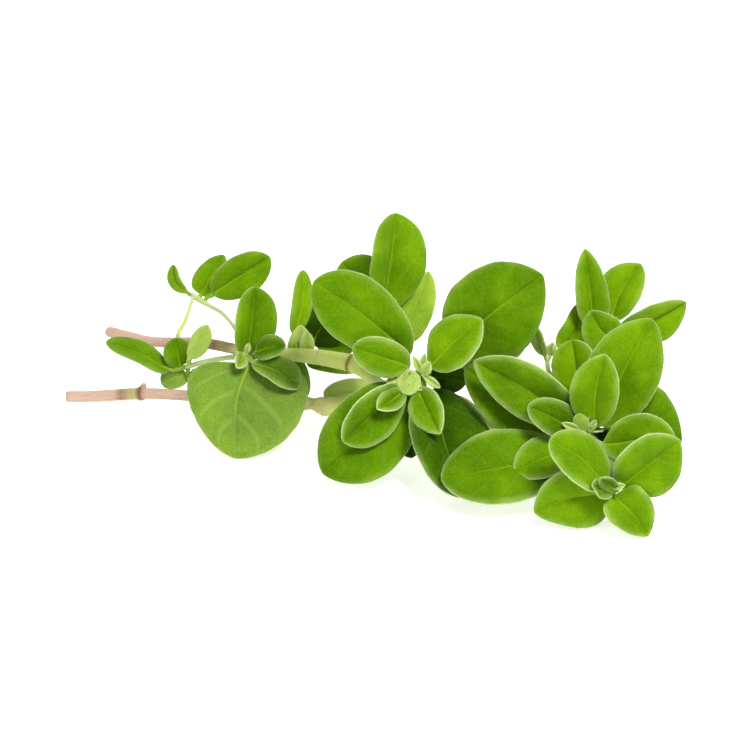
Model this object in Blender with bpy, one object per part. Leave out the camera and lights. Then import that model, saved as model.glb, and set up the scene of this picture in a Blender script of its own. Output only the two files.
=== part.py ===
"""Cut oregano sprig, lying on a surface: a forked pink stem and leafy shoots with paired leaves.

Metres, +Z up, +X along the main stem towards its leafy heads, -Y towards the viewer. The sprig rests on
z = 0 with the cut end of its main stem and the lowest leaves of its heads.

Places were read in a 750-pixel picture of the sprig, seen from the front and 30 degrees above. A place is
(pixels from the left, pixels from the top, mm in front of the picture's middle plane).
"""

import math
from typing import NamedTuple

import bpy
import bmesh
import numpy as np

MM = 0.001

# Driving dimensions, in metres and in mm where the name says so
SPRIG_LENGTH = 0.1407
SPRIG_PIXELS = 620.0
STEM_RADIUS_MM = 1.25
PRESSED_MM = 0.06
RING_SWELL_MM = 0.4
RING_LENGTH_MM = 1.1
BLADE_THICKNESS_MM = 0.75
STALK_WIDTH_MM = 0.95
TIP_WIDTH_MM = 0.4
JOINT_GAP_MM = 0.33

# The view that the places are read in
VIEW_ELEVATION = math.radians(30.0)
VIEW_DISTANCE = 0.9
PIXEL = SPRIG_LENGTH / SPRIG_PIXELS
FRAME_MIDDLE = 375.0
RIGHT = np.array([1.0, 0.0, 0.0])
UP = np.array([0.0, math.sin(VIEW_ELEVATION), math.cos(VIEW_ELEVATION)])
TOWARD = np.array([0.0, -math.cos(VIEW_ELEVATION), math.sin(VIEW_ELEVATION)])
MIDDLE = np.array([0.00060, 0.02169, 0.00514])

# How fine the faceted stems are
STEM_SIDES = 10
TWIG_SIDES = 6
TWIG_BELOW_MM = 0.8
ROUTE_STEP_MM = 3.2
RING_PROFILE = ((-1.0, 0.0), (-0.45, 0.77), (0.45, 0.77), (1.0, 0.0))
CLOSEST_SECTIONS_MM = 0.25
STEEP = 0.9

# How fine the faceted leaves are: rows at shares of a blade's length, columns at shares of its half width
LARGE_ROWS = (0.0, 0.08, 0.2, 0.36, 0.54, 0.72, 0.86, 0.95, 1.0)
SMALL_ROWS = (0.0, 0.2, 0.5, 0.8, 1.0)
COLUMNS = (-1.0, 0.0, 1.0)
SMALL_WIDTH_MM = 6.5
STALK_STEPS = 8
HALF_BLADE_STEPS = 12

# How a blade widens and narrows along its length: the powers of its base and of its tip
FORMS = {
    "oval": (0.7, 0.62),
    "round": (0.5, 0.52),
    "egg": (0.36, 0.68),
    "spoon": (0.8, 0.6),
    "shield": (0.3, 0.6),
    "pointed": (0.7, 0.75),
}

# Young leaves closed round a bud: share of the bud's length and degrees of spread for each pair
BUD_PAIRS = ((1.0, 32.0), (0.72, 14.0))
BUD_TURN = 0.3 * math.pi
BUD_LEAF_WIDTH = 0.62
BUD_FOLD = 20.0
BUD_BOW = -0.06
BUD_BASE_OUT_MM = 0.5
BUD_BASE_AHEAD_MM = 0.4
BUD_ROOT_BACK_MM = 0.3

# How finely a stem's start is cut back until it is clear of the stem it grows from
CLEAR_STEP_MM = 0.05
CLEAR_RIM_POINTS = 12
CLEAR_NEXT_MM = 0.5

# Colour and roughness of each node's material
PINK_STEM = ((0.62, 0.46, 0.36, 1.0), 0.6)
BROWN_STEM = ((0.55, 0.42, 0.28, 1.0), 0.6)
OLD_LEAF = ((0.17, 0.33, 0.02, 1.0), 0.62)
YOUNG_LEAF = ((0.22, 0.38, 0.04, 1.0), 0.65)
LOOKS = {
    "main_stem": PINK_STEM,
    "back_stem": BROWN_STEM,
    "large_leaf_shoot": YOUNG_LEAF,
    "middle_head": OLD_LEAF,
    "left_shoot": YOUNG_LEAF,
    "upper_shoot": YOUNG_LEAF,
    "right_head": OLD_LEAF,
    "low_head": YOUNG_LEAF,
    "back_head": YOUNG_LEAF,
}


class Leaf(NamedTuple):
    """One leaf, with its width in mm.

    back: mm from the stem's end to its root. face: how its upper side leans right and up. fold: degrees
    that each half is raised. bow and bend: how far the middle of its midrib stands forward and to the
    side, as a share of its length.
    """

    name: str
    back: float
    base: tuple
    tip: tuple
    width: float
    face: tuple = (0.0, 0.0)
    fold: float = 14.0
    bow: float = 0.07
    bend: float = 0.0
    form: str = "oval"


class Shoot(NamedTuple):
    """A stem with its leaves.

    route: places, each with the radius there in mm. rings: mm from its start. bud: length in mm.
    """

    name: str
    node: str
    route: tuple
    leaves: tuple = ()
    rings: tuple = ()
    bud: float = 0.0


def spot(place):
    """The point that the view shows at a place."""
    across, down, near = place
    scale = PIXEL * (1 - near * MM / VIEW_DISTANCE)
    sideways = RIGHT * (across - FRAME_MIDDLE) * scale
    upwards = UP * (FRAME_MIDDLE - down) * scale
    return MIDDLE + sideways + upwards + TOWARD * near * MM


def at_height(across, down, height):
    """The place on this ray of the view that lies height mm above the surface."""
    rise = (FRAME_MIDDLE - down) * PIXEL * UP[2]
    near = (height * MM - MIDDLE[2] - rise) / (TOWARD[2] - rise / VIEW_DISTANCE)
    return (across, down, near / MM)


# How high a stem's middle lies when it rests on its pressed underside
LYING = STEM_RADIUS_MM * math.cos(math.pi / STEM_SIDES) - PRESSED_MM

SHOOTS = (
    Shoot(
        "main_stem",
        "main_stem",
        (
            (at_height(66, 396.5, LYING), 1.25),
            (at_height(84, 396.4, LYING), 1.25),
            (at_height(112, 395.3, 1.6), 1.25),
            (at_height(142, 393.6, 2.7), 1.25),
            (at_height(185, 395.5, 4.2), 1.2),
            (at_height(222, 398, 5.4), 1.25),
            (at_height(262, 401, 6.5), 1.25),
            (at_height(305, 403, 7.3), 1.3),
            (at_height(315, 404.5, 7.4), 1.45),
            (at_height(319, 405.2, 7.5), 1.9),
            (at_height(326, 406.5, 7.6), 2.25),
        ),
        rings=(17.4, 35.8, 57.0),
    ),
    Shoot(
        "nub",
        "main_stem",
        (
            (at_height(140.3, 393.6, 2.6), 0.95),
            (at_height(142.6, 388, 3.8), 0.8),
            (at_height(145, 383.5, 4.9), 0.45),
        ),
    ),
    Shoot(
        "fork",
        "large_leaf_shoot",
        (
            (at_height(222, 398, 5.4), 1.2),
            ((231, 388, 10.5), 1.2),
            ((241, 373, 11.5), 1.2),
            ((252, 356, 12.5), 1.2),
        ),
    ),
    Shoot(
        "large_leaf_shoot",
        "large_leaf_shoot",
        (
            ((246, 354, 11.4), 1.3),
            ((262, 354, 13.0), 1.25),
            ((290, 354.5, 13.8), 1.45),
            ((318, 357, 15.0), 1.75),
        ),
        leaves=(
            Leaf(
                "upright", 16.5, (248, 351, 13.5), (255, 287, 16.0), 11.6,
                face=(0.5, 0.0), fold=26, bend=-0.03, form="round",
            ),
            Leaf(
                "side_round", 15.5, (256, 352, 15.5), (286, 346, 19.5), 6.2,
                face=(0.0, 0.4), form="round",
            ),
            Leaf("side_small", 16.5, (243, 354, 15.8), (237, 368, 20.0), 3.6, face=(0.6, 0.4)),
            Leaf(
                "edge_on", 15.5, (253, 363, 17.0), (298, 389, 21.0), 8.0,
                face=(0.1, 0.8), fold=18, bend=-0.05, form="spoon",
            ),
            Leaf(
                "broad", 16.0, (250, 364.5, 15.2), (235, 458.5, 22.25), 27.0,
                face=(0.0, 0.3), fold=5, bend=-0.03, form="shield",
            ),
            Leaf(
                "behind", 12.0, (272, 362, 9.6), (308, 395, 7.0), 11.2,
                face=(-0.1, 0.2), fold=13, bend=0.05, form="egg",
            ),
            Leaf(
                "mid_narrow", 4.5, (295, 335, 13.5), (303, 270, 14.0), 5.1,
                face=(0.4, 0.0), fold=9, bend=0.02, form="round",
            ),
            Leaf("mid_dark", 3.4, (310, 345, 11.0), (336, 306, 9.0), 12.0, face=(0.0, 0.2)),
            Leaf("mid_behind", 2.8, (314, 344, 11.0), (355, 345, 9.5), 7.0, face=(0.0, 0.2)),
            Leaf("mid_lower", 3.0, (307, 361, 11.5), (353, 373, 10.0), 3.3, face=(0.0, 0.2), form="egg"),
            Leaf("mid_young", 4.2, (300, 357, 11.6), (301, 325, 14.0), 6.0, form="egg"),
        ),
    ),
    Shoot(
        "back_stem",
        "back_stem",
        (
            ((248, 354, 11.8), 1.25),
            ((230, 348, 7.0), 1.25),
            ((200, 343, 1.0), 1.25),
            ((155, 342, -5.5), 1.2),
            ((130, 337, -8.5), 1.25),
            ((108, 331.5, -12.0), 1.3),
        ),
    ),
    Shoot(
        "twig",
        "back_stem",
        (
            ((178, 342, -2.2), 0.6),
            ((179, 332, -2.6), 0.5),
            ((186, 319, -3.4), 0.45),
            ((192, 304, -4.2), 0.4),
        ),
    ),
    Shoot(
        "middle_head",
        "middle_head",
        (
            ((318, 357, 15.0), 1.7),
            ((350, 363, 18.0), 1.9),
            ((366, 372, 20.5), 1.7),
            ((380, 384, 23.5), 1.25),
            ((397, 386, 29.0), 0.9),
            ((407, 383, 33.0), 0.8),
        ),
        rings=(8.3,),
        bud=4.0,
        leaves=(
            Leaf(
                "bud_front", 0.6, (409, 370, 34.0), (408, 395, 36.6), 5.7,
                fold=-18, bow=0.12, form="round",
            ),
            Leaf(
                "tiny_low_left", 1.0, (404, 390, 34.5), (377, 409, 41.0), 5.4,
                face=(-0.1, 0.1), fold=20, bow=0.0, bend=-0.04, form="spoon",
            ),
            Leaf(
                "right_upper", 1.5, (430, 367, 34.0), (482, 319, 36.5), 12.1,
                face=(-0.3, 0.4), fold=6, bend=0.01, form="pointed",
            ),
            Leaf(
                "small_low_right", 1.8, (417, 390, 34.5), (440, 434, 40.0), 8.1,
                face=(-0.2, -0.1), fold=16, bend=-0.02, form="pointed",
            ),
            Leaf(
                "small_left", 2.4, (406, 367, 34.0), (353, 347, 37.5), 8.7,
                fold=12, bend=0.01, form="round",
            ),
            Leaf(
                "low_left", 3.6, (403, 388, 33.0), (343, 442, 38.5), 12.0,
                face=(0.3, -0.3), fold=22, bend=0.05, form="spoon",
            ),
            Leaf(
                "right_big", 5.0, (449, 349, 30.0), (543, 275, 31.0), 21.6,
                face=(0.2, -0.2), fold=5, bow=0.09, bend=-0.04, form="pointed",
            ),
            Leaf(
                "left_big", 5.5, (408, 357, 30.5), (314, 281, 32.5), 15.4,
                face=(-0.1, -0.1), fold=5, bow=0.1, bend=0.05, form="spoon",
            ),
            Leaf(
                "low_right_big", 7.5, (429, 391, 26.8), (462, 498, 36.8), 20.8,
                face=(0.4, 0.1), fold=26, bend=0.04, form="spoon",
            ),
            Leaf(
                "low_left_big", 7.0, (403, 390, 30.0), (323, 474, 36.0), 19.4,
                face=(0.2, 0.0), fold=17, bend=-0.02,
            ),
            Leaf("low_behind", 9.0, (400, 398, 25.5), (412, 458, 27.5), 8.0),
            Leaf("right_behind", 8.0, (424, 378, 26.0), (468, 378, 24.0), 6.6, face=(0.0, -0.2)),
            Leaf("right_pale", 11.0, (446, 372, 19.0), (526, 344, 21.5), 8.0, face=(0.0, 0.3)),
        ),
    ),
    Shoot(
        "middle_side",
        "middle_head",
        (
            ((353, 363, 18.3), 0.9),
            ((372, 352, 19.3), 0.8),
            ((389, 340, 20.3), 0.7),
        ),
        leaves=(
            Leaf(
                "top", 0.5, (382, 316, 22.3), (396, 213, 24.0), 16.0,
                face=(0.6, -0.1), fold=26, bow=0.05, bend=-0.02, form="spoon",
            ),
            Leaf(
                "top_right", 0.8, (398, 338, 19.5), (429, 272, 17.0), 9.4,
                face=(0.0, 0.1), fold=16, bend=0.03, form="egg",
            ),
            Leaf("top_left", 1.2, (387, 325, 18.6), (341, 263, 16.0), 12.4, bend=0.09, form="spoon"),
        ),
    ),
    Shoot(
        "left_shoot",
        "left_shoot",
        (
            ((250, 359, 12.0), 0.6),
            ((236, 357, 10.4), 0.6),
            ((208, 361, 4.9), 0.6),
            ((186, 367, 1.0), 0.6),
        ),
        leaves=(
            Leaf(
                "low_long", 0.3, (169, 370, 1.0), (106, 342, 3.5), 6.7,
                face=(0.0, 0.9), fold=9, form="round",
            ),
            Leaf("round_up", 0.6, (181, 366, 0.5), (175, 338, 2.0), 6.9, form="round"),
            Leaf(
                "pale_up", 1.4, (189, 359, 3.2), (208, 325, 7.0), 4.8,
                face=(-0.3, -0.2), fold=12, bend=0.06, form="spoon",
            ),
            Leaf("lower", 0.3, (187, 374, 0.0), (161, 382, -0.5), 5.6, face=(0.0, 0.2), form="round"),
            Leaf(
                "lower_right", 0.8, (188, 373, 1.0), (200, 380, 0.5), 3.6,
                face=(0.0, 0.2), form="round",
            ),
        ),
    ),
    Shoot(
        "upper_shoot",
        "upper_shoot",
        (
            ((246, 352, 11.4), 0.55),
            ((241, 338, 8.0), 0.5),
            ((232, 324, 4.5), 0.45),
            ((222, 313, 0.5), 0.45),
            ((211, 306.5, -2.4), 0.5),
            ((201, 300.5, -3.9), 0.7),
            ((192, 295, -5.0), 0.6),
        ),
        leaves=(
            Leaf(
                "lone", 0.3, (188, 293, -5.6), (173, 265, -7.5), 3.6,
                face=(-0.6, 0.0), fold=15, bend=-0.14, form="spoon",
            ),
            Leaf(
                "left", 1.8, (201, 295, -4.4), (224, 255, -5.5), 7.4,
                face=(-0.2, 0.0), fold=18, bend=0.01, form="egg",
            ),
            Leaf("right", 3.4, (212, 294, -3.0), (270, 257, -1.0), 9.9, face=(0.3, -0.1), bend=-0.02),
        ),
    ),
    Shoot(
        "right_head",
        "right_head",
        (
            (at_height(326, 406.5, 7.6), 2.1),
            ((345, 405.0, 18.9), 1.5),
            ((385, 402, 20.0), 1.15),
            ((425, 398, 21.5), 1.1),
            ((462, 401, 24.0), 1.0),
            ((490, 425, 27.5), 1.0),
            ((530, 438, 31.5), 1.0),
            ((565, 437, 35.0), 0.95),
            ((585, 428, 39.0), 0.8),
        ),
        bud=3.6,
        leaves=(
            Leaf(
                "node_leaf", 61.0, (326, 398, 13.6), (375, 388.5, 13.0), 6.4,
                face=(0.0, 0.5), bow=0.04, form="round",
            ),
            Leaf(
                "bud_front", 0.6, (584, 432, 40.4), (578, 414, 42.6), 3.8,
                fold=-15, bow=0.1, form="round",
            ),
            Leaf(
                "small_left", 1.5, (577, 433, 39.5), (528, 406, 43.5), 8.3,
                face=(0.1, 0.2), bend=0.01, form="round",
            ),
            Leaf(
                "top", 1.2, (593, 426, 40.5), (605, 354, 42.5), 11.4,
                face=(-0.2, 0.0), fold=20, bend=-0.03, form="pointed",
            ),
            Leaf("right_mid", 2.0, (603, 444, 41.0), (675, 437, 43.0), 11.6, face=(0.0, 0.2), bend=0.01),
            Leaf(
                "low_small_left", 2.6, (573, 447, 40.0), (514, 472, 43.5), 9.8,
                face=(-0.1, 0.4), fold=11, bend=-0.01,
            ),
            Leaf(
                "left_big", 4.0, (573, 424, 37.0), (474, 361, 38.0), 12.4,
                face=(-0.1, -0.2), fold=17, bow=0.09, bend=0.06, form="pointed",
            ),
            Leaf(
                "right_up_big", 4.0, (599, 425, 36.0), (652, 319, 36.5), 16.5,
                fold=12, bow=0.06, bend=-0.02, form="pointed",
            ),
            Leaf(
                "low_left_big", 6.0, (568, 454, 38.3), (441, 479, 43.0), 18.0,
                face=(0.0, 0.5), fold=5, bend=-0.04,
            ),
            Leaf(
                "left_behind", 7.0, (556, 431, 33.0), (465, 368, 31.5), 14.8,
                face=(0.1, 0.1), fold=15, bend=-0.03, form="egg",
            ),
            Leaf("low_behind", 5.0, (592, 432, 32.5), (621, 476, 34.5), 8.6, face=(0.2, 0.0)),
            Leaf(
                "right_behind", 7.0, (612, 429, 32.5), (682, 440, 32.0), 21.7,
                face=(0.0, 0.2), fold=12, bend=0.02, form="pointed",
            ),
        ),
    ),
    Shoot(
        "low_head",
        "low_head",
        (
            ((590, 436, 36.5), 0.8),
            ((604, 450, 39.5), 0.75),
            ((612, 464, 43.0), 0.75),
            ((613, 480, 47.0), 0.75),
            ((607, 488, 49.5), 0.7),
        ),
        bud=2.0,
        leaves=(
            Leaf(
                "up_left", 1.6, (605, 484, 50.5), (550, 439, 54.5), 11.4,
                face=(0.3, 0.4), fold=5, bend=0.03, form="round",
            ),
            Leaf(
                "low_right", 1.9, (614, 496, 49.5), (648, 536, 50.2), 10.6,
                face=(0.1, 0.3), fold=13, bend=-0.03, form="egg",
            ),
            Leaf(
                "right_up", 2.8, (620, 486, 48.5), (680, 440, 50.3), 15.0,
                face=(0.3, -0.3), bend=-0.04, form="pointed",
            ),
            Leaf(
                "low_left", 3.2, (606, 492, 48.3), (534, 512, 49.0), 14.4,
                face=(0.1, -0.3), fold=7, bend=0.08, form="egg",
            ),
            Leaf(
                "cup_left", 0.6, (609, 493, 51.2), (592, 485, 55.3), 4.6,
                face=(0.0, 0.5), bow=-0.12, form="round",
            ),
            Leaf(
                "cup_right", 0.6, (616, 491, 51.2), (600, 478, 54.8), 3.6,
                face=(-0.5, 0.2), bow=-0.1, form="round",
            ),
        ),
    ),
    Shoot(
        "back_head",
        "back_head",
        (
            ((512, 434, 29.3), 0.9),
            ((535, 408, 26.0), 0.9),
            ((568, 378, 23.0), 0.85),
            ((590, 356, 22.0), 0.8),
            ((602, 341, 22.5), 0.7),
        ),
        bud=2.0,
        leaves=(
            Leaf(
                "small", 0.8, (610, 341, 25.0), (590, 311, 26.5), 9.2,
                face=(-0.1, 0.1), fold=13, bend=-0.05, form="egg",
            ),
            Leaf(
                "up", 1.2, (594, 325, 20.5), (585, 249, 19.5), 8.2,
                face=(0.2, 0.0), fold=21, bend=-0.02, form="egg",
            ),
            Leaf(
                "up_right", 2.2, (610, 323, 19.0), (641, 264, 17.0), 10.8,
                face=(-0.3, 0.2), fold=19, bend=-0.05, form="pointed",
            ),
            Leaf(
                "right", 1.2, (619, 332, 22.5), (686, 302, 23.5), 10.9,
                face=(0.3, -0.5), fold=26, bend=-0.01, form="pointed",
            ),
            Leaf(
                "left", 4.0, (566, 350, 19.0), (578, 304, 17.0), 7.1,
                face=(0.1, 0.0), fold=20, bend=0.09, form="egg",
            ),
            Leaf(
                "front_left", 5.5, (577, 390, 27.0), (572, 340, 28.5), 10.9,
                face=(-0.4, 0.0), fold=15, bend=0.05, form="round",
            ),
            Leaf("down_back", 5.0, (612, 362, 17.0), (640, 402, 0.8), 10.0, face=(0.3, 0.6)),
        ),
    ),
    Shoot(
        "tiny_shoot",
        "back_head",
        (
            ((565, 381, 23.2), 0.6),
            ((550, 374, 23.5), 0.55),
            ((547, 360, 24.0), 0.5),
        ),
        leaves=(
            Leaf(
                "narrow", 0.3, (545, 355, 24.5), (536, 327, 25.5), 4.6,
                face=(-1.2, 0.0), fold=9, bend=0.01, form="round",
            ),
            Leaf("bud", 0.3, (550, 356, 24.0), (553, 342, 25.0), 2.6, form="pointed"),
        ),
    ),
)


def unit(vector):
    return vector / np.linalg.norm(vector)


def across_of(direction):
    """Two directions square to a direction and to each other."""
    aside = [1.0, 0.0, 0.0] if abs(direction[2]) > STEEP else [0.0, 0.0, 1.0]
    side = unit(np.cross(direction, aside))
    return side, np.cross(side, direction)


def spline(points, steps):
    """A smooth curve through the points, with so many steps in each stretch between two of them."""
    points = np.asarray(points, float)
    ends = np.vstack([2 * points[0] - points[1], points, 2 * points[-1] - points[-2]])
    found = [points[0]]
    for index, count in enumerate(steps):
        before, start, end, after = ends[index : index + 4]
        for step in range(1, count + 1):
            t = step / count
            steady = 2 * start + (end - before) * t
            square = (2 * before - 5 * start + 4 * end - after) * t**2
            cube = (3 * start - before - 3 * end + after) * t**3
            found.append((steady + square + cube) / 2)
    return np.array(found)


def stem_course(shoot):
    """Points along a shoot's stem with its radius at each, in metres."""
    rows = np.array([[*spot(place), radius * MM] for place, radius in shoot.route])
    lengths = np.linalg.norm(np.diff(rows[:, :3], axis=0), axis=1)
    steps = [max(1, round(length / (ROUTE_STEP_MM * MM))) for length in lengths]
    return spline(rows, steps)


def lengths_along(course):
    """How far each point of a course lies from its start."""
    return np.concatenate([[0], np.cumsum(np.linalg.norm(np.diff(course[:, :3], axis=0), axis=1))])


def at_length(course, along, length):
    """The course's row at a length along it."""
    return np.array([np.interp(length, along, column) for column in course.T])


def point_from_end(course, back):
    """The point so many mm before the end of a course."""
    along = lengths_along(course)
    return at_length(course, along, max(along[-1] - back * MM, 0))[:3]


def distance_to(course, point):
    """How far a point lies outside the skin of a course's stem."""
    starts, ends = course[:-1, :3], course[1:, :3]
    runs = ends - starts
    t = np.clip(((point - starts) * runs).sum(1) / (runs**2).sum(1), 0, 1)
    gaps = np.linalg.norm(starts + runs * t[:, None] - point, axis=1)
    radii = course[:-1, 3] + (course[1:, 3] - course[:-1, 3]) * t
    return (gaps - radii).min()


def circle(centre, radius, direction, count, start=0.0):
    """Points evenly round a centre, square to a direction, from start (a share of one step)."""
    side, over = across_of(direction)
    turns = 2 * math.pi * (np.arange(count) + start) / count
    return centre + radius * (np.outer(np.sin(turns), side) - np.outer(np.cos(turns), over))


def clear_of(course, others):
    """The course from where its blunt start is clear of the other stems' skins."""
    along = lengths_along(course)
    start = 0.0
    while start < along[-1]:
        row = at_length(course, along, start)
        ahead = at_length(course, along, start + CLEAR_STEP_MM * MM)
        rim = circle(row[:3], row[3], unit(ahead[:3] - row[:3]), CLEAR_RIM_POINTS)
        if min(distance_to(other, point) for other in others for point in rim) > JOINT_GAP_MM * MM:
            break
        start += CLEAR_STEP_MM * MM
    return np.vstack([row, course[along > start + CLEAR_NEXT_MM * MM]])


def with_rings(course, rings):
    """The course with a swelling at each ring."""
    along = lengths_along(course)
    places, swellings = np.array(RING_PROFILE).T
    marks = [along]
    for ring in rings:
        marks.append((ring + places * RING_LENGTH_MM) * MM)
    marks = np.unique(np.clip(np.concatenate(marks), 0, along[-1]))
    marks = marks[np.concatenate([[True], np.diff(marks) > CLOSEST_SECTIONS_MM * MM])]
    found = np.array([at_length(course, along, mark) for mark in marks])
    for ring in rings:
        from_ring = (marks / MM - ring) / RING_LENGTH_MM
        found[:, 3] += RING_SWELL_MM * MM * np.interp(from_ring, places, swellings)
    return found


def tube(course):
    """Points and triangles of a closed stem, pressed flat where it would sink into the surface."""
    sides = TWIG_SIDES if course[:, 3].mean() < TWIG_BELOW_MM * MM else STEM_SIDES
    directions = np.gradient(course[:, :3], axis=0)
    points = np.vstack([
        circle(row[:3], row[3], unit(direction), sides, start=0.5)
        for row, direction in zip(course, directions)
    ])
    points[:, 2] = np.maximum(points[:, 2], 0)
    faces = []
    for ring in range(len(course) - 1):
        for k in range(sides):
            a = ring * sides + k
            b = ring * sides + (k + 1) % sides
            faces += [(b, a, a + sides), (b, a + sides, b + sides)]
    last = (len(course) - 1) * sides
    for k in range(1, sides - 1):
        faces += [(0, k, k + 1), (last, last + k + 1, last + k)]
    return points, faces


def widening(along, form):
    """Half width of a blade as a share of its greatest, at a share of its length."""
    base, tip = FORMS[form]
    widest = base / (base + tip)
    return along**base * (1 - along) ** tip / (widest**base * (1 - widest) ** tip)


def midline(root, base, tip, facing, bow, bend):
    """A leaf's midline from root to tip: its points, its directions, and where its upper side faces."""
    length = np.linalg.norm(tip - base)
    run = unit(tip - base)
    upper = unit(facing - facing.dot(run) * run)
    side = np.cross(run, upper)
    middle = (base + tip) / 2 + (upper * bow + side * bend) * length
    curve = spline([root, base, middle, tip], (STALK_STEPS, HALF_BLADE_STEPS, HALF_BLADE_STEPS))
    directions = np.array([unit(step) for step in np.gradient(curve, axis=0)])
    uppers = np.empty_like(curve)
    halfway = STALK_STEPS + HALF_BLADE_STEPS
    uppers[halfway] = unit(upper - upper.dot(directions[halfway]) * directions[halfway])
    onwards = range(halfway + 1, len(curve))
    backwards = range(halfway - 1, -1, -1)
    for order, behind in ((onwards, -1), (backwards, 1)):
        for index in order:
            carried = uppers[index + behind]
            uppers[index] = unit(carried - carried.dot(directions[index]) * directions[index])
    return curve, directions, uppers


def sections(leaf):
    """The leaf's cross-sections: step along its midline, half width in mm and fold in radians."""
    rows = LARGE_ROWS if leaf.width > SMALL_WIDTH_MM else SMALL_ROWS
    found = [(0.0, STALK_WIDTH_MM / 2, 0.0)]
    for share in rows:
        narrowest = STALK_WIDTH_MM if share < 0.5 else TIP_WIDTH_MM
        half = max(leaf.width * widening(share, leaf.form), narrowest) / 2
        found.append((STALK_STEPS + 2 * HALF_BLADE_STEPS * share, half, math.radians(leaf.fold)))
    return found


def closed_sheet(top, bottom, row_count, column_count):
    """Triangles of a thin closed sheet, alike on both faces, with a rim between them."""
    count = len(top)
    faces = []
    for row in range(row_count - 1):
        for column in range(column_count - 1):
            a = row * column_count + column
            b = a + 1
            d = a + column_count
            c = d + 1
            left_half = column < (column_count - 1) / 2
            halves = [(a, b, c), (a, c, d)] if left_half else [(a, b, d), (b, c, d)]
            for face in halves:
                faces.append(face)
                faces.append(tuple(count + corner for corner in reversed(face)))
    first_row = list(range(column_count))
    right_side = [row * column_count + column_count - 1 for row in range(1, row_count)]
    last_row = [(row_count - 1) * column_count + column for column in range(column_count - 2, -1, -1)]
    left_side = [row * column_count for row in range(row_count - 2, 0, -1)]
    loop = first_row + right_side + last_row + left_side
    for one, two in zip(loop, loop[1:] + loop[:1]):
        faces += [(two, one, one + count), (two, one + count, two + count)]
    return np.array(top + bottom), faces


def blade(root, base, tip, leaf, facing):
    """Points and triangles of one closed leaf with its stalk."""
    curve, directions, uppers = midline(root, base, tip, facing, leaf.bow, leaf.bend)
    steps = np.arange(len(curve))
    top = []
    bottom = []
    places = sections(leaf)
    for step, half, fold in places:
        centre = at_length(curve, steps, step)
        upper = unit(at_length(uppers, steps, step))
        across = unit(np.cross(at_length(directions, steps, step), upper))
        for share in COLUMNS:
            out = across * share * half * MM * math.cos(fold)
            rise = upper * abs(share) * half * MM * math.sin(fold)
            thick = upper * BLADE_THICKNESS_MM / 2 * MM
            top.append(centre + out + rise + thick)
            bottom.append(centre + out + rise - thick)
    return closed_sheet(top, bottom, len(places), len(COLUMNS))


def bud_leaves(length, course):
    """Pairs of young leaves closed round the end of a stem, each pair a quarter turn from the last."""
    end = course[-1, :3]
    ahead = unit(course[-1, :3] - course[-2, :3])
    side = unit(np.cross(ahead, UP))
    over = np.cross(side, ahead)
    for pair, (share, spread) in enumerate(BUD_PAIRS):
        reach = length * share
        lean = math.radians(spread)
        for half in (0, 1):
            turn = BUD_TURN + math.pi * (half + pair / 2)
            out = math.cos(turn) * side + math.sin(turn) * over
            base = end + (out * BUD_BASE_OUT_MM + ahead * BUD_BASE_AHEAD_MM) * MM
            tip = base + (ahead * math.cos(lean) + out * math.sin(lean)) * reach * MM
            width = reach * BUD_LEAF_WIDTH
            leaf = Leaf("bud", 0.0, (), (), width, fold=BUD_FOLD, bow=BUD_BOW, form="pointed")
            yield blade(end - ahead * BUD_ROOT_BACK_MM * MM, base, tip, leaf, -out)


def pieces():
    """Each closed piece as (node, points, triangles): every stem, then its leaves and bud."""
    drawn = []
    for shoot in SHOOTS:
        course = stem_course(shoot)
        others = [other for node, other in drawn if node != shoot.node]
        shown = clear_of(course, others) if others else course
        drawn.append((shoot.node, shown))
        yield shoot.node, *tube(with_rings(shown, shoot.rings))
        for leaf in shoot.leaves:
            root = point_from_end(course, leaf.back)
            lean_right, lean_up = leaf.face
            facing = TOWARD + lean_right * RIGHT + lean_up * UP
            yield shoot.node, *blade(root, spot(leaf.base), spot(leaf.tip), leaf, facing)
        if shoot.bud:
            for points, faces in bud_leaves(shoot.bud, course):
                yield shoot.node, points, faces


def principled(name, look):
    """A Principled material with a colour and a roughness, and no metal."""
    colour, roughness = look
    material = bpy.data.materials.new(name)
    material.use_nodes = True
    shader = material.node_tree.nodes["Principled BSDF"]
    shader.inputs["Base Color"].default_value = colour
    shader.inputs["Roughness"].default_value = roughness
    shader.inputs["Metallic"].default_value = 0.0
    return material


def solid_object(name, points, faces, collection):
    """An object of one closed solid."""
    mesh = bpy.data.meshes.new(name)
    mesh.from_pydata([tuple(point) for point in points], [], faces)
    mesh.update()
    item = bpy.data.objects.new(name, mesh)
    collection.objects.link(item)
    return item


def shells(solid):
    """The separate closed surfaces of a mesh, each as its faces."""
    left = set(solid.faces)
    while left:
        found = set()
        edge_of = [left.pop()]
        while edge_of:
            face = edge_of.pop()
            found.add(face)
            for edge in face.edges:
                for other in edge.link_faces:
                    if other in left:
                        left.remove(other)
                        edge_of.append(other)
        yield found


def signed_volume(faces):
    """The volume inside faces that point outwards, negative for the wall of a hollow."""
    total = 0.0
    for face in faces:
        corners = [vert.co for vert in face.verts]
        for one, two in zip(corners[1:], corners[2:]):
            total += corners[0].dot(one.cross(two)) / 6
    return total


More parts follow.
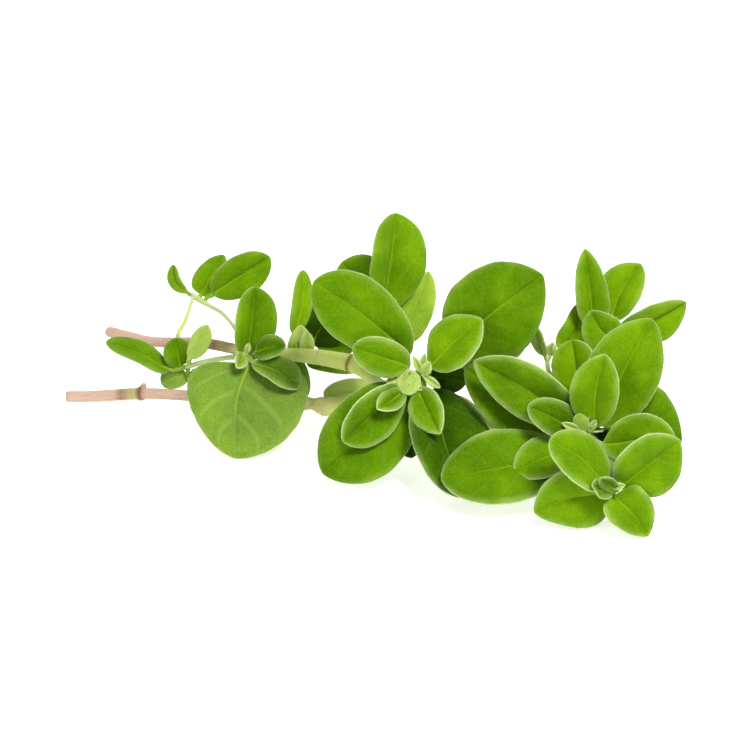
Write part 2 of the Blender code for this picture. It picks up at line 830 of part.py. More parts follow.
def fuse(name, solids):
    """One body of a node's solids, with its hollows filled and loose scraps dropped."""
    scene = bpy.context.scene.collection
    first = solid_object(name, *solids[0], scene)
    repeats = bpy.data.collections.new(name + "_repeats")
    scene.children.link(repeats)
    for points, faces in solids[1:]:
        solid_object(name + "_repeat", points, faces, repeats)
    if repeats.objects:
        union = first.modifiers.new("Union", "BOOLEAN")
        union.operation = "UNION"
        union.operand_type = "COLLECTION"
        union.collection = repeats
        union.solver = "MANIFOLD"
    bpy.context.view_layer.update()
    depsgraph = bpy.context.evaluated_depsgraph_get()
    fused = bpy.data.meshes.new_from_object(first.evaluated_get(depsgraph))
    first.modifiers.clear()
    first.data = fused
    for item in list(repeats.objects):
        bpy.data.objects.remove(item, do_unlink=True)
    bpy.data.collections.remove(repeats)
    tidy(fused)
    return first


def tidy(mesh):
    """Leaves only the outer surface of the largest body, in triangles."""
    solid = bmesh.new()
    solid.from_mesh(mesh)
    bmesh.ops.triangulate(solid, faces=solid.faces)
    found = sorted(shells(solid), key=signed_volume)
    for scrap in found[:-1]:
        bmesh.ops.delete(solid, geom=list(scrap), context="FACES")
    solid.to_mesh(mesh)
    solid.free()


def main():
    for item in list(bpy.data.objects):
        bpy.data.objects.remove(item, do_unlink=True)
    solids = {}
    for node, points, faces in pieces():
        solids.setdefault(node, []).append((points, faces))
    for node, found in solids.items():
        item = fuse(node, found)
        item.data.materials.clear()
        item.data.materials.append(principled(node, LOOKS[node]))


main()
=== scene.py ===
"""Cut oregano sprig, as photographed: velvety leaves with downy rims on pink and yellow-green stems.

Leaves and stems are built in finer form where the measured solids stand, and down is added to both. Places
are (pixels from the left, pixels from the top, mm in front of the picture's middle plane).
"""

import math
from typing import NamedTuple

import bpy
import numpy as np
from mathutils import Matrix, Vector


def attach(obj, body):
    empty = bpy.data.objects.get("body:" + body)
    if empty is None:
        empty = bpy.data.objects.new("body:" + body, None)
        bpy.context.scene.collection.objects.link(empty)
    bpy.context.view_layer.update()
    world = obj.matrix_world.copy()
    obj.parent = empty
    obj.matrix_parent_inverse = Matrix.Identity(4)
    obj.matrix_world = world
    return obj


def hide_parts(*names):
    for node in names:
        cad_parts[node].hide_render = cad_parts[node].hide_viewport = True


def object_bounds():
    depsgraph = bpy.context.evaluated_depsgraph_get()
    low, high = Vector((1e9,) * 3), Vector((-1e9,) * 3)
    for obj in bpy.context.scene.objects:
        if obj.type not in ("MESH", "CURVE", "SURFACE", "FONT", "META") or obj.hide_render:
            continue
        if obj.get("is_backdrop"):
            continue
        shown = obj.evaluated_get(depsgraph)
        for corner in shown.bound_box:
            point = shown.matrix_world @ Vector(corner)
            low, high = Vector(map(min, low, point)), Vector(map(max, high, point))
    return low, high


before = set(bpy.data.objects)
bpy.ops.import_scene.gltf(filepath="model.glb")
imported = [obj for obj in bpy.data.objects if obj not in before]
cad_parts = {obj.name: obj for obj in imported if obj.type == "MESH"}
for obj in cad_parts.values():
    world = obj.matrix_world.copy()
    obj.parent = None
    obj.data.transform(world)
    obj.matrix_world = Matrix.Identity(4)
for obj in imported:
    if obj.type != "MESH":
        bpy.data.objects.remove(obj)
solid_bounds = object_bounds()

MM = 0.001
SEED = 7

# The view that the places are read in
SPRIG_LENGTH = 0.1407
SPRIG_PIXELS = 620.0
PIXEL = SPRIG_LENGTH / SPRIG_PIXELS
FRAME_MIDDLE = 375.0
VIEW_ELEVATION = math.radians(30.0)
VIEW_DISTANCE = 0.9
RIGHT = np.array([1.0, 0.0, 0.0])
UP = np.array([0.0, math.sin(VIEW_ELEVATION), math.cos(VIEW_ELEVATION)])
TOWARD = np.array([0.0, -math.cos(VIEW_ELEVATION), math.sin(VIEW_ELEVATION)])
MIDDLE = np.array([0.00060, 0.02169, 0.00514])

# The measured solids' sizes that the finer forms keep
STEM_RADIUS_MM = 1.25
PRESSED_MM = 0.06
SOLID_STEM_SIDES = 10
RING_SWELL_MM = 0.36
RING_LENGTH_MM = 0.75
STALK_WIDTH_MM = 0.95
TIP_WIDTH_MM = 0.4

# Stem nodes and cut ends: lengths in mm, rows across a node, and the share that a cut end narrows by
RING_REACH_MM = 1.6
RING_ROWS = 17
CLOSEST_ROWS_MM = 0.08
GROOVE_DEPTH_MM = 0.1
GROOVE_WIDTH_MM = 0.16
RING_TINT_MM = 0.55
END_TAPER = 0.16
END_TAPER_MM = 0.3

# How fine the stems and leaves are
STEM_SIDES = 24
STEM_STEP_MM = 0.55
CAP_SHARES = (0.96, 0.6, 0.25)
STALK_STEPS = 16
HALF_BLADE_STEPS = 24
LARGE_WIDTH_MM = 6.5
LARGE_ROWS = 52
SMALL_ROWS = 26
LARGE_COLUMNS = (0.0, 0.035, 0.08, 0.15, 0.25, 0.37, 0.5, 0.63, 0.75, 0.85, 0.92, 0.97, 1.0)
SMALL_COLUMNS = (0.0, 0.1, 0.25, 0.5, 0.75, 0.92, 1.0)

# A blade's relief, in mm or, from CUP on, as shares of its half width
BLADE_THICKNESS_MM = 0.42
STALK_THICKNESS_MM = 0.75
RIM_ROUNDING_MM = 0.2
RIB_WIDTH_MM = 0.3
RIB_DEPTH_MM = 0.17
RIB_RIDGE_MM = 0.3
VEIN_DEPTH_MM = 0.06
QUILT_MM = 0.07
CUP = 0.75
BULGE = 0.05
WAVE = 0.03
SCALLOP = 0.006

# How a blade widens and narrows along its length: the powers of its base and of its tip
FORMS = {
    "oval": (0.7, 0.62),
    "round": (0.5, 0.52),
    "egg": (0.36, 0.68),
    "spoon": (0.8, 0.6),
    "shield": (0.3, 0.6),
    "pointed": (0.7, 0.75),
}

# Young leaves closed round a bud: share of the bud's length and degrees of spread for each pair
BUD_PAIRS = ((1.0, 32.0), (0.72, 14.0), (0.5, 24.0))
BUD_TURN = 0.3 * math.pi
BUD_LEAF_WIDTH = 0.62
BUD_FOLD = 20.0
BUD_BOW = -0.06
BUD_BASE_OUT_MM = 0.5
BUD_BASE_AHEAD_MM = 0.4
BUD_ROOT_BACK_MM = 0.3

# Down: hairs on the rims, the young leaves and the stems, in mm
HAIR_APART_MM = 0.2
HAIR_LENGTH_MM = (0.16, 0.38)
HAIR_RADIUS_MM = 0.03
STEM_HAIR_APART_MM = 0.16
STEM_HAIR_LENGTH_MM = (0.15, 0.35)
FACE_HAIR_LENGTH_MM = (0.2, 0.45)
BUD_DOWN_APART_MM = 0.42
YOUNG_DOWN_APART_MM = 0.36


class Leaf(NamedTuple):
    """One leaf, with its width in mm.

    back: mm from the stem's end to its root. face: how its upper side leans right and up. fold: degrees
    that each half is raised. bow and bend: how far the middle of its midrib stands forward and to the
    side, as a share of its length.
    """

    name: str
    back: float
    base: tuple
    tip: tuple
    width: float
    face: tuple = (0.0, 0.0)
    fold: float = 14.0
    bow: float = 0.07
    bend: float = 0.0
    form: str = "oval"


class Shoot(NamedTuple):
    """A stem with its leaves.

    route: places, each with the radius there in mm. rings: mm from its start. bud: length in mm.
    """

    name: str
    node: str
    route: tuple
    leaves: tuple = ()
    rings: tuple = ()
    bud: float = 0.0


class Look(NamedTuple):
    """How a leaf is coloured and lined.

    tone: 0 deep green to 1 light yellow-green; the low tones of leaves lying behind others are painted
    shade. pale: share of whitish down, on node_leaf raised as painted light. rim: strength of its pale rim, a
    painted sheen band near the rim and, at the rim, the pale of the margin hairs with a painted edge
    highlight,
    and of its rim hairs. veins: side veins on each half. slant: how far forward they run. lined: how pale
    they are.
    quilt: how strongly the blade is raised between them. skew: how far the midrib stands to one side.
    """

    tone: float = 0.55
    pale: float = 0.0
    rim: float = 0.45
    veins: float = 5.0
    slant: float = 0.3
    lined: float = 0.05
    quilt: float = 1.0
    skew: float = 0.0


def spot(place):
    """The point that the view shows at a place."""
    across, down, near = place
    scale = PIXEL * (1 - near * MM / VIEW_DISTANCE)
    sideways = RIGHT * (across - FRAME_MIDDLE) * scale
    upwards = UP * (FRAME_MIDDLE - down) * scale
    return MIDDLE + sideways + upwards + TOWARD * near * MM


def at_height(across, down, height):
    """The place on this ray of the view that lies height mm above the surface."""
    rise = (FRAME_MIDDLE - down) * PIXEL * UP[2]
    near = (height * MM - MIDDLE[2] - rise) / (TOWARD[2] - rise / VIEW_DISTANCE)
    return (across, down, near / MM)


# How high a stem's middle lies when it rests on its pressed underside
LYING = STEM_RADIUS_MM * math.cos(math.pi / SOLID_STEM_SIDES) - PRESSED_MM

SHOOTS = (
    Shoot(
        "main_stem", "main_stem",
        (
            (at_height(66, 396.5, LYING), 1.25), (at_height(84, 396.4, LYING), 1.25),
            (at_height(112, 395.3, 1.6), 1.25), (at_height(142, 393.6, 2.7), 1.25),
            (at_height(185, 395.5, 4.2), 1.2), (at_height(222, 398, 5.4), 1.25),
            (at_height(262, 401, 6.5), 1.25), (at_height(305, 403, 7.3), 1.3),
            (at_height(315, 404.5, 7.4), 1.45), (at_height(319, 405.2, 7.5), 1.9),
            (at_height(326, 406.5, 7.6), 2.25),
        ),
        rings=(17.4, 35.8, 57.0),
    ),
    Shoot(
        "nub", "main_stem",
        (
            (at_height(140.3, 393.6, 2.6), 0.95), (at_height(142.6, 388, 3.8), 0.8),
            (at_height(145, 383.5, 4.9), 0.45),
        ),
    ),
    Shoot(
        "fork", "large_leaf_shoot",
        (
            (at_height(222, 398, 5.4), 1.2), ((231, 388, 10.5), 1.2), ((241, 373, 11.5), 1.2),
            ((252, 356, 12.5), 1.2),
        ),
    ),
    Shoot(
        "large_leaf_shoot", "large_leaf_shoot",
        (
            ((246, 354, 11.4), 1.3), ((262, 354, 13.0), 1.25), ((290, 354.5, 13.8), 1.45),
            ((318, 357, 15.0), 1.75),
        ),
        leaves=(
            Leaf("upright", 16.5, (248, 351, 13.5), (255, 287, 16.0), 11.6, face=(0.5, 0.0), fold=26,
                 bend=-0.03, form="round"),
            Leaf("side_round", 15.5, (256, 352, 15.5), (286, 346, 19.5), 6.2, face=(0.0, 0.4), form="round"),
            Leaf("side_small", 16.5, (243, 354, 15.8), (237, 368, 20.0), 3.6, face=(0.6, 0.4)),
            Leaf("edge_on", 15.5, (253, 363, 17.0), (298, 389, 21.0), 8.0, face=(0.1, 0.8), fold=18,
                 bend=-0.05, form="spoon"),
            Leaf("broad", 16.0, (250, 364.5, 15.2), (235, 458.5, 22.25), 27.0, face=(0.0, 0.3), fold=5,
                 bend=-0.03, form="shield"),
            Leaf("behind", 12.0, (272, 362, 9.6), (308, 395, 7.0), 11.2, face=(-0.1, 0.2), fold=13,
                 bend=0.05, form="egg"),
            Leaf("mid_narrow", 4.5, (295, 335, 13.5), (303, 270, 14.0), 5.1, face=(0.4, 0.0), fold=9,
                 bend=0.02, form="round"),
            Leaf("mid_dark", 3.4, (310, 345, 11.0), (336, 306, 9.0), 12.0, face=(0.0, 0.2)),
            Leaf("mid_behind", 2.8, (314, 344, 11.0), (355, 345, 9.5), 7.0, face=(0.0, 0.2)),
            Leaf("mid_lower", 3.0, (307, 361, 11.5), (353, 373, 10.0), 3.3, face=(0.0, 0.2), form="egg"),
            Leaf("mid_young", 4.2, (300, 357, 11.6), (301, 325, 14.0), 6.0, form="egg"),
        ),
    ),
    Shoot(
        "back_stem", "back_stem",
        (
            ((248, 354, 11.8), 1.25), ((230, 348, 7.0), 1.25), ((200, 343, 1.0), 1.25),
            ((155, 342, -5.5), 1.2), ((130, 337, -8.5), 1.25), ((108, 331.5, -12.0), 1.3),
        ),
    ),
    Shoot(
        "twig", "back_stem",
        (
            ((178, 342, -2.2), 0.6), ((179, 332, -2.6), 0.5), ((186, 319, -3.4), 0.45),
            ((193, 297, -4.4), 0.4),
        ),
    ),
    Shoot(
        "middle_head", "middle_head",
        (
            ((318, 357, 15.0), 1.7), ((350, 363, 18.0), 1.9), ((366, 372, 20.5), 1.7),
            ((380, 384, 23.5), 1.25), ((397, 386, 29.0), 0.9), ((407, 383, 33.0), 0.8),
        ),
        rings=(8.3,),
        bud=4.0,
        leaves=(
            Leaf("bud_front", 0.6, (409, 370, 34.0), (408, 395, 36.6), 5.7, fold=-18, bow=0.12, form="round"),
            Leaf("tiny_low_left", 1.0, (404, 390, 34.5), (377, 409, 41.0), 5.4, face=(-0.1, 0.1), fold=20,
                 bow=0.0, bend=-0.04, form="spoon"),
            Leaf("right_upper", 1.5, (430, 367, 34.0), (482, 319, 36.5), 12.1, face=(-0.3, 0.4), fold=6,
                 bend=0.01, form="pointed"),
            Leaf("small_low_right", 1.8, (417, 390, 34.5), (440, 434, 40.0), 8.1, face=(-0.2, -0.1), fold=16,
                 bend=-0.02, form="pointed"),
            Leaf("small_left", 2.4, (406, 367, 34.0), (353, 347, 37.5), 8.7, fold=12, bend=0.01,
                 form="round"),
            Leaf("low_left", 3.6, (403, 388, 33.0), (343, 442, 38.5), 12.0, face=(0.3, -0.3), fold=22,
                 bend=0.05, form="spoon"),
            Leaf("right_big", 5.0, (449, 349, 30.0), (543, 275, 31.0), 21.6, face=(0.2, -0.2), fold=5,
                 bow=0.09, bend=-0.04, form="pointed"),
            Leaf("left_big", 5.5, (408, 357, 30.5), (314, 281, 32.5), 15.4, face=(-0.1, -0.1), fold=5,
                 bow=0.1, bend=0.05, form="spoon"),
            Leaf("low_right_big", 7.5, (429, 391, 26.8), (462, 498, 36.8), 20.8, face=(0.4, 0.1), fold=26,
                 bend=0.04, form="spoon"),
            Leaf("low_left_big", 7.0, (403, 390, 30.0), (323, 474, 36.0), 19.4, face=(0.2, 0.0), fold=17,
                 bend=-0.02),
            Leaf("low_behind", 9.0, (400, 398, 25.5), (412, 458, 27.5), 8.0),
            Leaf("right_behind", 8.0, (424, 378, 26.0), (468, 378, 24.0), 6.6, face=(0.0, -0.2)),
            Leaf("right_pale", 11.0, (446, 372, 19.0), (526, 344, 21.5), 8.0, face=(0.0, 0.3)),
        ),
    ),
    Shoot(
        "middle_side", "middle_head",
        (
            ((353, 363, 18.3), 0.9), ((372, 352, 19.3), 0.8), ((389, 340, 20.3), 0.7),
        ),
        leaves=(
            Leaf("top", 0.5, (382, 316, 22.3), (396, 213, 24.0), 16.0, face=(0.6, -0.1), fold=26, bow=0.05,
                 bend=-0.02, form="spoon"),
            Leaf("top_right", 0.8, (398, 338, 19.5), (429, 272, 17.0), 9.4, face=(0.0, 0.1), fold=16,
                 bend=0.03, form="egg"),
            Leaf("top_left", 1.2, (387, 325, 18.6), (341, 263, 16.0), 12.4, bend=0.09, form="spoon"),
        ),
    ),
    Shoot(
        "left_shoot", "left_shoot",
        (
            ((250, 359, 12.0), 0.6), ((236, 357, 10.4), 0.6), ((208, 361, 4.9), 0.6), ((186, 367, 1.0), 0.6),
        ),
        leaves=(
            Leaf("low_long", 0.3, (169, 370, 1.0), (106, 342, 3.5), 6.7, face=(0.0, 0.9), fold=9,
                 form="round"),
            Leaf("round_up", 0.6, (181, 366, 0.5), (175, 338, 2.0), 6.9, form="round"),
            Leaf("pale_up", 1.4, (189, 359, 3.2), (208, 325, 7.0), 4.8, face=(-0.3, -0.2), fold=12,
                 bend=0.06, form="spoon"),
            Leaf("lower", 0.3, (187, 374, 0.0), (161, 382, -0.5), 5.6, face=(0.0, 0.2), form="round"),
            Leaf("lower_right", 0.8, (188, 373, 1.0), (200, 380, 0.5), 3.6, face=(0.0, 0.2), form="round"),
        ),
    ),
    Shoot(
        "upper_shoot", "upper_shoot",
        (
            ((246, 352, 11.4), 0.55), ((241, 338, 8.0), 0.5), ((232, 324, 4.5), 0.45),
            ((222, 313, 0.5), 0.45), ((211, 306.5, -2.4), 0.5), ((201, 300.5, -3.9), 0.7),
            ((192, 295, -5.0), 0.6),
        ),
        leaves=(
            Leaf("lone", 0.3, (188, 293, -5.6), (173, 265, -7.5), 3.6, face=(-0.6, 0.0), fold=15, bend=-0.14,
                 form="spoon"),
            Leaf("left", 1.8, (201, 295, -4.4), (224, 255, -5.5), 7.4, face=(-0.2, 0.0), fold=18, bend=0.01,
                 form="egg"),
            Leaf("right", 3.4, (212, 294, -3.0), (270, 257, -1.0), 9.9, face=(0.3, -0.1), bend=-0.02),
        ),
    ),
    Shoot(
        "right_head", "right_head",
        (
            (at_height(326, 406.5, 7.6), 2.1), ((345, 405.0, 18.9), 1.5), ((385, 402, 20.0), 1.15),
            ((425, 398, 21.5), 1.1), ((462, 401, 24.0), 1.0), ((490, 425, 27.5), 1.0),
            ((530, 438, 31.5), 1.0), ((565, 437, 35.0), 0.95), ((585, 428, 39.0), 0.8),
        ),
        bud=3.6,
        leaves=(
            Leaf("node_leaf", 61.0, (326, 398, 13.6), (375, 388.5, 13.0), 6.4, face=(0.0, 0.5), bow=0.04,
                 form="round"),
            Leaf("bud_front", 0.6, (584, 432, 40.4), (578, 414, 42.6), 3.8, fold=-15, bow=0.1, form="round"),
            Leaf("small_left", 1.5, (577, 433, 39.5), (528, 406, 43.5), 8.3, face=(0.1, 0.2), bend=0.01,
                 form="round"),
            Leaf("top", 1.2, (593, 426, 40.5), (605, 354, 42.5), 11.4, face=(-0.2, 0.0), fold=20, bend=-0.03,
                 form="pointed"),
            Leaf("right_mid", 2.0, (603, 444, 41.0), (675, 437, 43.0), 11.6, face=(0.0, 0.2), bend=0.01),
            Leaf("low_small_left", 2.6, (573, 447, 40.0), (514, 472, 43.5), 9.8, face=(-0.1, 0.4), fold=11,
                 bend=-0.01),
            Leaf("left_big", 4.0, (573, 424, 37.0), (474, 361, 38.0), 12.4, face=(-0.1, -0.2), fold=17,
                 bow=0.09, bend=0.06, form="pointed"),
            Leaf("right_up_big", 4.0, (599, 425, 36.0), (652, 319, 36.5), 16.5, fold=12, bow=0.06,
                 bend=-0.02, form="pointed"),
            Leaf("low_left_big", 6.0, (568, 454, 38.3), (441, 479, 43.0), 18.0, face=(0.0, 0.5), fold=5,
                 bend=-0.04),
            Leaf("left_behind", 7.0, (556, 431, 33.0), (465, 368, 31.5), 14.8, face=(0.1, 0.1), fold=15,
                 bend=-0.03, form="egg"),
            Leaf("low_behind", 5.0, (592, 432, 32.5), (621, 476, 34.5), 8.6, face=(0.2, 0.0)),
            Leaf("right_behind", 7.0, (612, 429, 32.5), (682, 440, 32.0), 21.7, face=(0.0, 0.2), fold=12,
                 bend=0.02, form="pointed"),
        ),
    ),
    Shoot(
        "low_head", "low_head",
        (
            ((590, 436, 36.5), 0.8), ((604, 450, 39.5), 0.75), ((612, 464, 43.0), 0.75),
            ((613, 480, 47.0), 0.75), ((607, 488, 49.5), 0.7),
        ),
        bud=2.0,
        leaves=(
            Leaf("up_left", 1.6, (605, 484, 50.5), (550, 439, 54.5), 11.4, face=(0.3, 0.4), fold=5,
                 bend=0.03, form="round"),
            Leaf("low_right", 1.9, (614, 496, 49.5), (648, 536, 50.2), 10.6, face=(0.1, 0.3), fold=13,
                 bend=-0.03, form="egg"),
            Leaf("right_up", 2.8, (620, 486, 48.5), (680, 440, 50.3), 15.0, face=(0.3, -0.3), bend=-0.04,
                 form="pointed"),
            Leaf("low_left", 3.2, (606, 492, 48.3), (534, 512, 49.0), 14.4, face=(0.1, -0.3), fold=7,
                 bend=0.08, form="egg"),
            Leaf("cup_left", 0.6, (609, 493, 51.2), (592, 485, 55.3), 4.6, face=(0.0, 0.5), bow=-0.12,
                 form="round"),
            Leaf("cup_right", 0.6, (616, 491, 51.2), (600, 478, 54.8), 3.6, face=(-0.5, 0.2), bow=-0.1,
                 form="round"),
        ),
    ),
    Shoot(
        "back_head", "back_head",
        (
            ((512, 434, 29.3), 0.9), ((535, 408, 26.0), 0.9), ((568, 378, 23.0), 0.85),
            ((590, 356, 22.0), 0.8), ((602, 341, 22.5), 0.7),
        ),
        bud=2.0,
        leaves=(
            Leaf("small", 0.8, (610, 341, 25.0), (590, 311, 26.5), 9.2, face=(-0.1, 0.1), fold=13,
                 bend=-0.05, form="egg"),
            Leaf("up", 1.2, (594, 325, 20.5), (585, 249, 19.5), 8.2, face=(0.2, 0.0), fold=21, bend=-0.02,
                 form="egg"),
            Leaf("up_right", 2.2, (610, 323, 19.0), (641, 264, 17.0), 10.8, face=(-0.3, 0.2), fold=19,
                 bend=-0.05, form="pointed"),
            Leaf("right", 1.2, (619, 332, 22.5), (686, 302, 23.5), 10.9, face=(0.3, -0.5), fold=26,
                 bend=-0.01, form="pointed"),
            Leaf("left", 4.0, (566, 350, 19.0), (578, 304, 17.0), 7.1, face=(0.1, 0.0), fold=20, bend=0.09,
                 form="egg"),
            Leaf("front_left", 5.5, (577, 390, 27.0), (572, 340, 28.5), 10.9, face=(-0.4, 0.0), fold=15,
                 bend=0.05, form="round"),
            Leaf("down_back", 5.0, (612, 362, 17.0), (640, 402, 0.8), 10.0, face=(0.3, 0.6)),
        ),
    ),
    Shoot(
        "tiny_shoot", "back_head",
        (
            ((565, 381, 23.2), 0.6), ((550, 374, 23.5), 0.55), ((547, 360, 24.0), 0.5),
        ),
        leaves=(
            Leaf("narrow", 0.3, (545, 355, 24.5), (536, 327, 25.5), 4.6, face=(-1.2, 0.0), fold=9, bend=0.01,
                 form="round"),
            Leaf("bud", 0.3, (550, 356, 24.0), (553, 342, 25.0), 2.6, form="pointed"),
        ),
    ),
)

# Small young leaves at the buds: node, base, tip, width in mm
YOUNG = (
    ("middle_head", (402, 376, 33.6), (386, 382, 35.0), 2.2),
    ("middle_head", (421, 372, 33.4), (413, 356, 34.8), 1.9),
    ("middle_head", (422, 371, 33.0), (425, 353, 34.0), 1.8),
    ("middle_head", (423, 375, 34.0), (430, 362, 36.0), 2.6),
    ("middle_head", (425, 377, 34.0), (440, 388, 34.6), 2.0),
    ("middle_head", (419, 378, 32.4), (425, 393, 33.4), 2.3),
    ("right_head", (578, 430, 41.0), (562, 423, 43.2), 1.9),
    ("right_head", (590, 430, 40.6), (596, 420, 42.4), 1.7),
    ("low_head", (614, 487, 51.5), (625, 485, 53.2), 1.7),
    ("back_head", (549, 352, 24.6), (553, 343, 25.8), 1.5),
    ("large_leaf_shoot", (307, 356, 12.8), (307, 331, 14.8), 3.6),
    ("large_leaf_shoot", (246, 353, 15.0), (249, 343, 16.2), 1.6),
)

# How each node's leaves look, and the leaves that differ from the rest of their node
NODE_LOOKS = {
    "large_leaf_shoot": Look(tone=0.55, rim=0.4),
    "middle_head": Look(tone=0.53, rim=1.0),
    "left_shoot": Look(tone=0.5, rim=0.3),
    "upper_shoot": Look(tone=0.6, rim=0.3),
    "right_head": Look(tone=0.56, rim=1.0),
    "low_head": Look(tone=0.61, rim=0.9),
    "back_head": Look(tone=0.62, rim=0.6),
}
LEAF_LOOKS = {
    "large_leaf_shoot": {
        "broad": Look(tone=0.5, pale=0.16, rim=0.3, veins=3.3, slant=0.45, lined=0.24, quilt=3.2, skew=0.17),
        "upright": Look(tone=0.58, rim=0.4),
        "side_round": Look(tone=0.38, rim=0.6),
        "side_small": Look(tone=0.6, pale=0.1, rim=1.0),
        "edge_on": Look(tone=0.42, pale=0.05, rim=0.6),
        "mid_narrow": Look(tone=0.65, rim=0.3),
        # mid_dark lies behind the stem, facing away: its low tone, bare rim and missing veins are painted
        # shade
        "mid_dark": Look(tone=0.12, rim=0.0, lined=0.0),
        "mid_behind": Look(tone=0.5, rim=0.3, lined=0.0),
        "mid_young": Look(tone=0.9, pale=0.5, rim=0.8),
        "behind": Look(tone=0.5, pale=0.1, rim=0.2),
    },
    "middle_head": {
        "bud_front": Look(tone=0.72, pale=0.5, rim=1.0, veins=3.0, lined=0.0),
        "tiny_low_left": Look(tone=0.48, rim=1.0),
        "right_upper": Look(tone=0.6, rim=0.9),
        "low_left": Look(tone=0.48, rim=1.0),
        "right_big": Look(tone=0.5, rim=0.45),
        "left_big": Look(tone=0.54, rim=0.5),
        "low_left_big": Look(tone=0.5, rim=0.35),
        "low_right_big": Look(tone=0.3, rim=0.5),
        # low_behind and right_behind lie behind the leaves in front: their low tones, weak rims and missing
        # veins are painted shade
        "low_behind": Look(tone=0.1, rim=0.1, lined=0.0),
        "right_behind": Look(tone=0.15, rim=0.1, lined=0.0),
        "right_pale": Look(tone=0.85, pale=0.25, rim=0.4),
    },
    "middle_side": {
        "top": Look(tone=0.6, rim=0.4, veins=4.0, slant=0.6, lined=0.1, quilt=2.5),
        "top_right": Look(tone=0.8, pale=0.12, rim=0.4),
        "top_left": Look(tone=0.55, rim=0.4),
    },
    "left_shoot": {
        "pale_up": Look(tone=0.85, pale=0.4, rim=0.3),
        "lower": Look(tone=0.6, pale=0.2, rim=0.3),
    },
    "right_head": {
        # node_leaf's whitish down is its own, but its full tone and high pale also make up for the shade it
        # lies in: painted light
        "node_leaf": Look(tone=1.0, pale=0.85, rim=0.6),
        # low_behind lies behind the leaves in front: its low tone, weak rim and missing veins are painted
        # shade
        "low_behind": Look(tone=0.05, rim=0.1, lined=0.0),
        "bud_front": Look(tone=0.7, pale=0.2, rim=1.0),
        "small_left": Look(tone=0.45, rim=0.9),
        "low_small_left": Look(tone=0.53, rim=1.0),
        "top": Look(tone=0.62, rim=0.7),
        "left_big": Look(tone=0.5, rim=1.0),
        "right_up_big": Look(tone=0.6, rim=0.5),
        "low_left_big": Look(tone=0.48, rim=0.9),
        "left_behind": Look(tone=0.48, rim=0.4),
        "right_behind": Look(tone=0.45, rim=0.5),
    },
    "low_head": {
        "cup_left": Look(tone=0.42, rim=0.5),
        "cup_right": Look(tone=0.42, rim=0.5),
    },
    "back_head": {
        "left": Look(tone=0.72, rim=0.4),
        "down_back": Look(tone=0.45, rim=0.3),
    },
    "tiny_shoot": {
        "narrow": Look(tone=0.6, pale=0.35, rim=0.5),
        "bud": Look(tone=0.85, pale=0.4, rim=0.8),
    },
}
YOUNG_LOOK = Look(tone=0.86, pale=0.4, rim=1.0, veins=3.0)
BUD_LOOK = Look(tone=0.7, pale=0.25, rim=1.0, veins=3.0)

# Hue at mm from each stem's start: pink (0) over brown and olive to yellow-green and deep green (1)
STEM_HUES = {
    "main_stem": (
        (0, 0.0), (11, 0.02), (14.5, 0.42), (16.2, 0.44), (17.4, 0.2), (19, 0.02),
        (56, 0.02), (57.2, 0.5), (60, 0.55),
    ),
    "nub": ((0, 0.2), (3, 0.05)),
    "fork": ((0, 0.1), (8, 0.5), (14, 0.66)),
    "large_leaf_shoot": ((0, 0.66), (20, 0.7)),
    "back_stem": ((0, 0.66), (3.5, 0.6), (6, 0.42), (10, 0.3), (13, 0.06), (33, 0.0)),
    "middle_head": ((0, 0.7), (7, 0.66), (9, 0.62), (20, 0.8)),
    "middle_side": ((0, 0.75), (10, 0.8)),
    "left_shoot": ((0, 0.78), (16, 0.82)),
    "upper_shoot": ((0, 0.78), (16, 0.82)),
    "twig": ((0, 0.3), (2.5, 0.7), (9, 0.8)),
    "right_head": ((0, 0.52), (6, 0.66), (20, 0.75)),
    "low_head": ((0, 0.9), (14, 1.0)),
    "back_head": ((0, 0.8), (20, 0.85)),
    "tiny_shoot": ((0, 0.8), (8, 0.8)),
}
OPEN_ENDS = {"main_stem": "start", "back_stem": "end", "nub": "end"}
SUNK_STARTS_MM = {"right_head": 1.0}

SLOTS = {
    "main_stem": "stem_pink",
    "back_stem": "stem_brown",
    "middle_head": "leaf_green",
    "right_head": "leaf_green",
}


def unit(vector):
    return vector / np.linalg.norm(vector)


def spline(points, steps):
    """A smooth curve through the points, with so many steps in each stretch between two of them."""
    points = np.asarray(points, float)
    ends = np.vstack([2 * points[0] - points[1], points, 2 * points[-1] - points[-2]])
    found = [points[0]]
    for index, count in enumerate(steps):
        before, start, end, after = ends[index : index + 4]
        for step in range(1, count + 1):
            t = step / count
            steady = 2 * start + (end - before) * t
            square = (2 * before - 5 * start + 4 * end - after) * t**2
            cube = (3 * start - before - 3 * end + after) * t**3
            found.append((steady + square + cube) / 2)
    return np.array(found)


def stem_course(shoot):
    """Points along a shoot's stem with its radius at each, in metres."""
    rows = np.array([[*spot(place), radius * MM] for place, radius in shoot.route])
    lengths = np.linalg.norm(np.diff(rows[:, :3], axis=0), axis=1)
    steps = [max(2, round(length / (STEM_STEP_MM * MM))) for length in lengths]
    return spline(rows, steps)


def lengths_along(course):
    """How far each point of a course lies from its start."""
    return np.concatenate([[0], np.cumsum(np.linalg.norm(np.diff(course[:, :3], axis=0), axis=1))])


def at_length(course, along, length):
    """The course's row at a length along it."""
    return np.array([np.interp(length, along, column) for column in course.T])


def point_from_end(course, back):
    """The point so many mm before the end of a course."""
    along = lengths_along(course)
    return at_length(course, along, max(along[-1] - back * MM, 0))[:3]


def widening(along, form):
    """Half width of a blade as a share of its greatest, at shares of its length."""
    base, tip = FORMS[form]
    widest = base / (base + tip)
    return along**base * (1 - along) ** tip / (widest**base * (1 - widest) ** tip)


def ease(low, high, value):
    """0 below low, 1 above high and smooth between."""
    t = np.clip((value - low) / (high - low), 0, 1)
    return t * t * (3 - 2 * t)


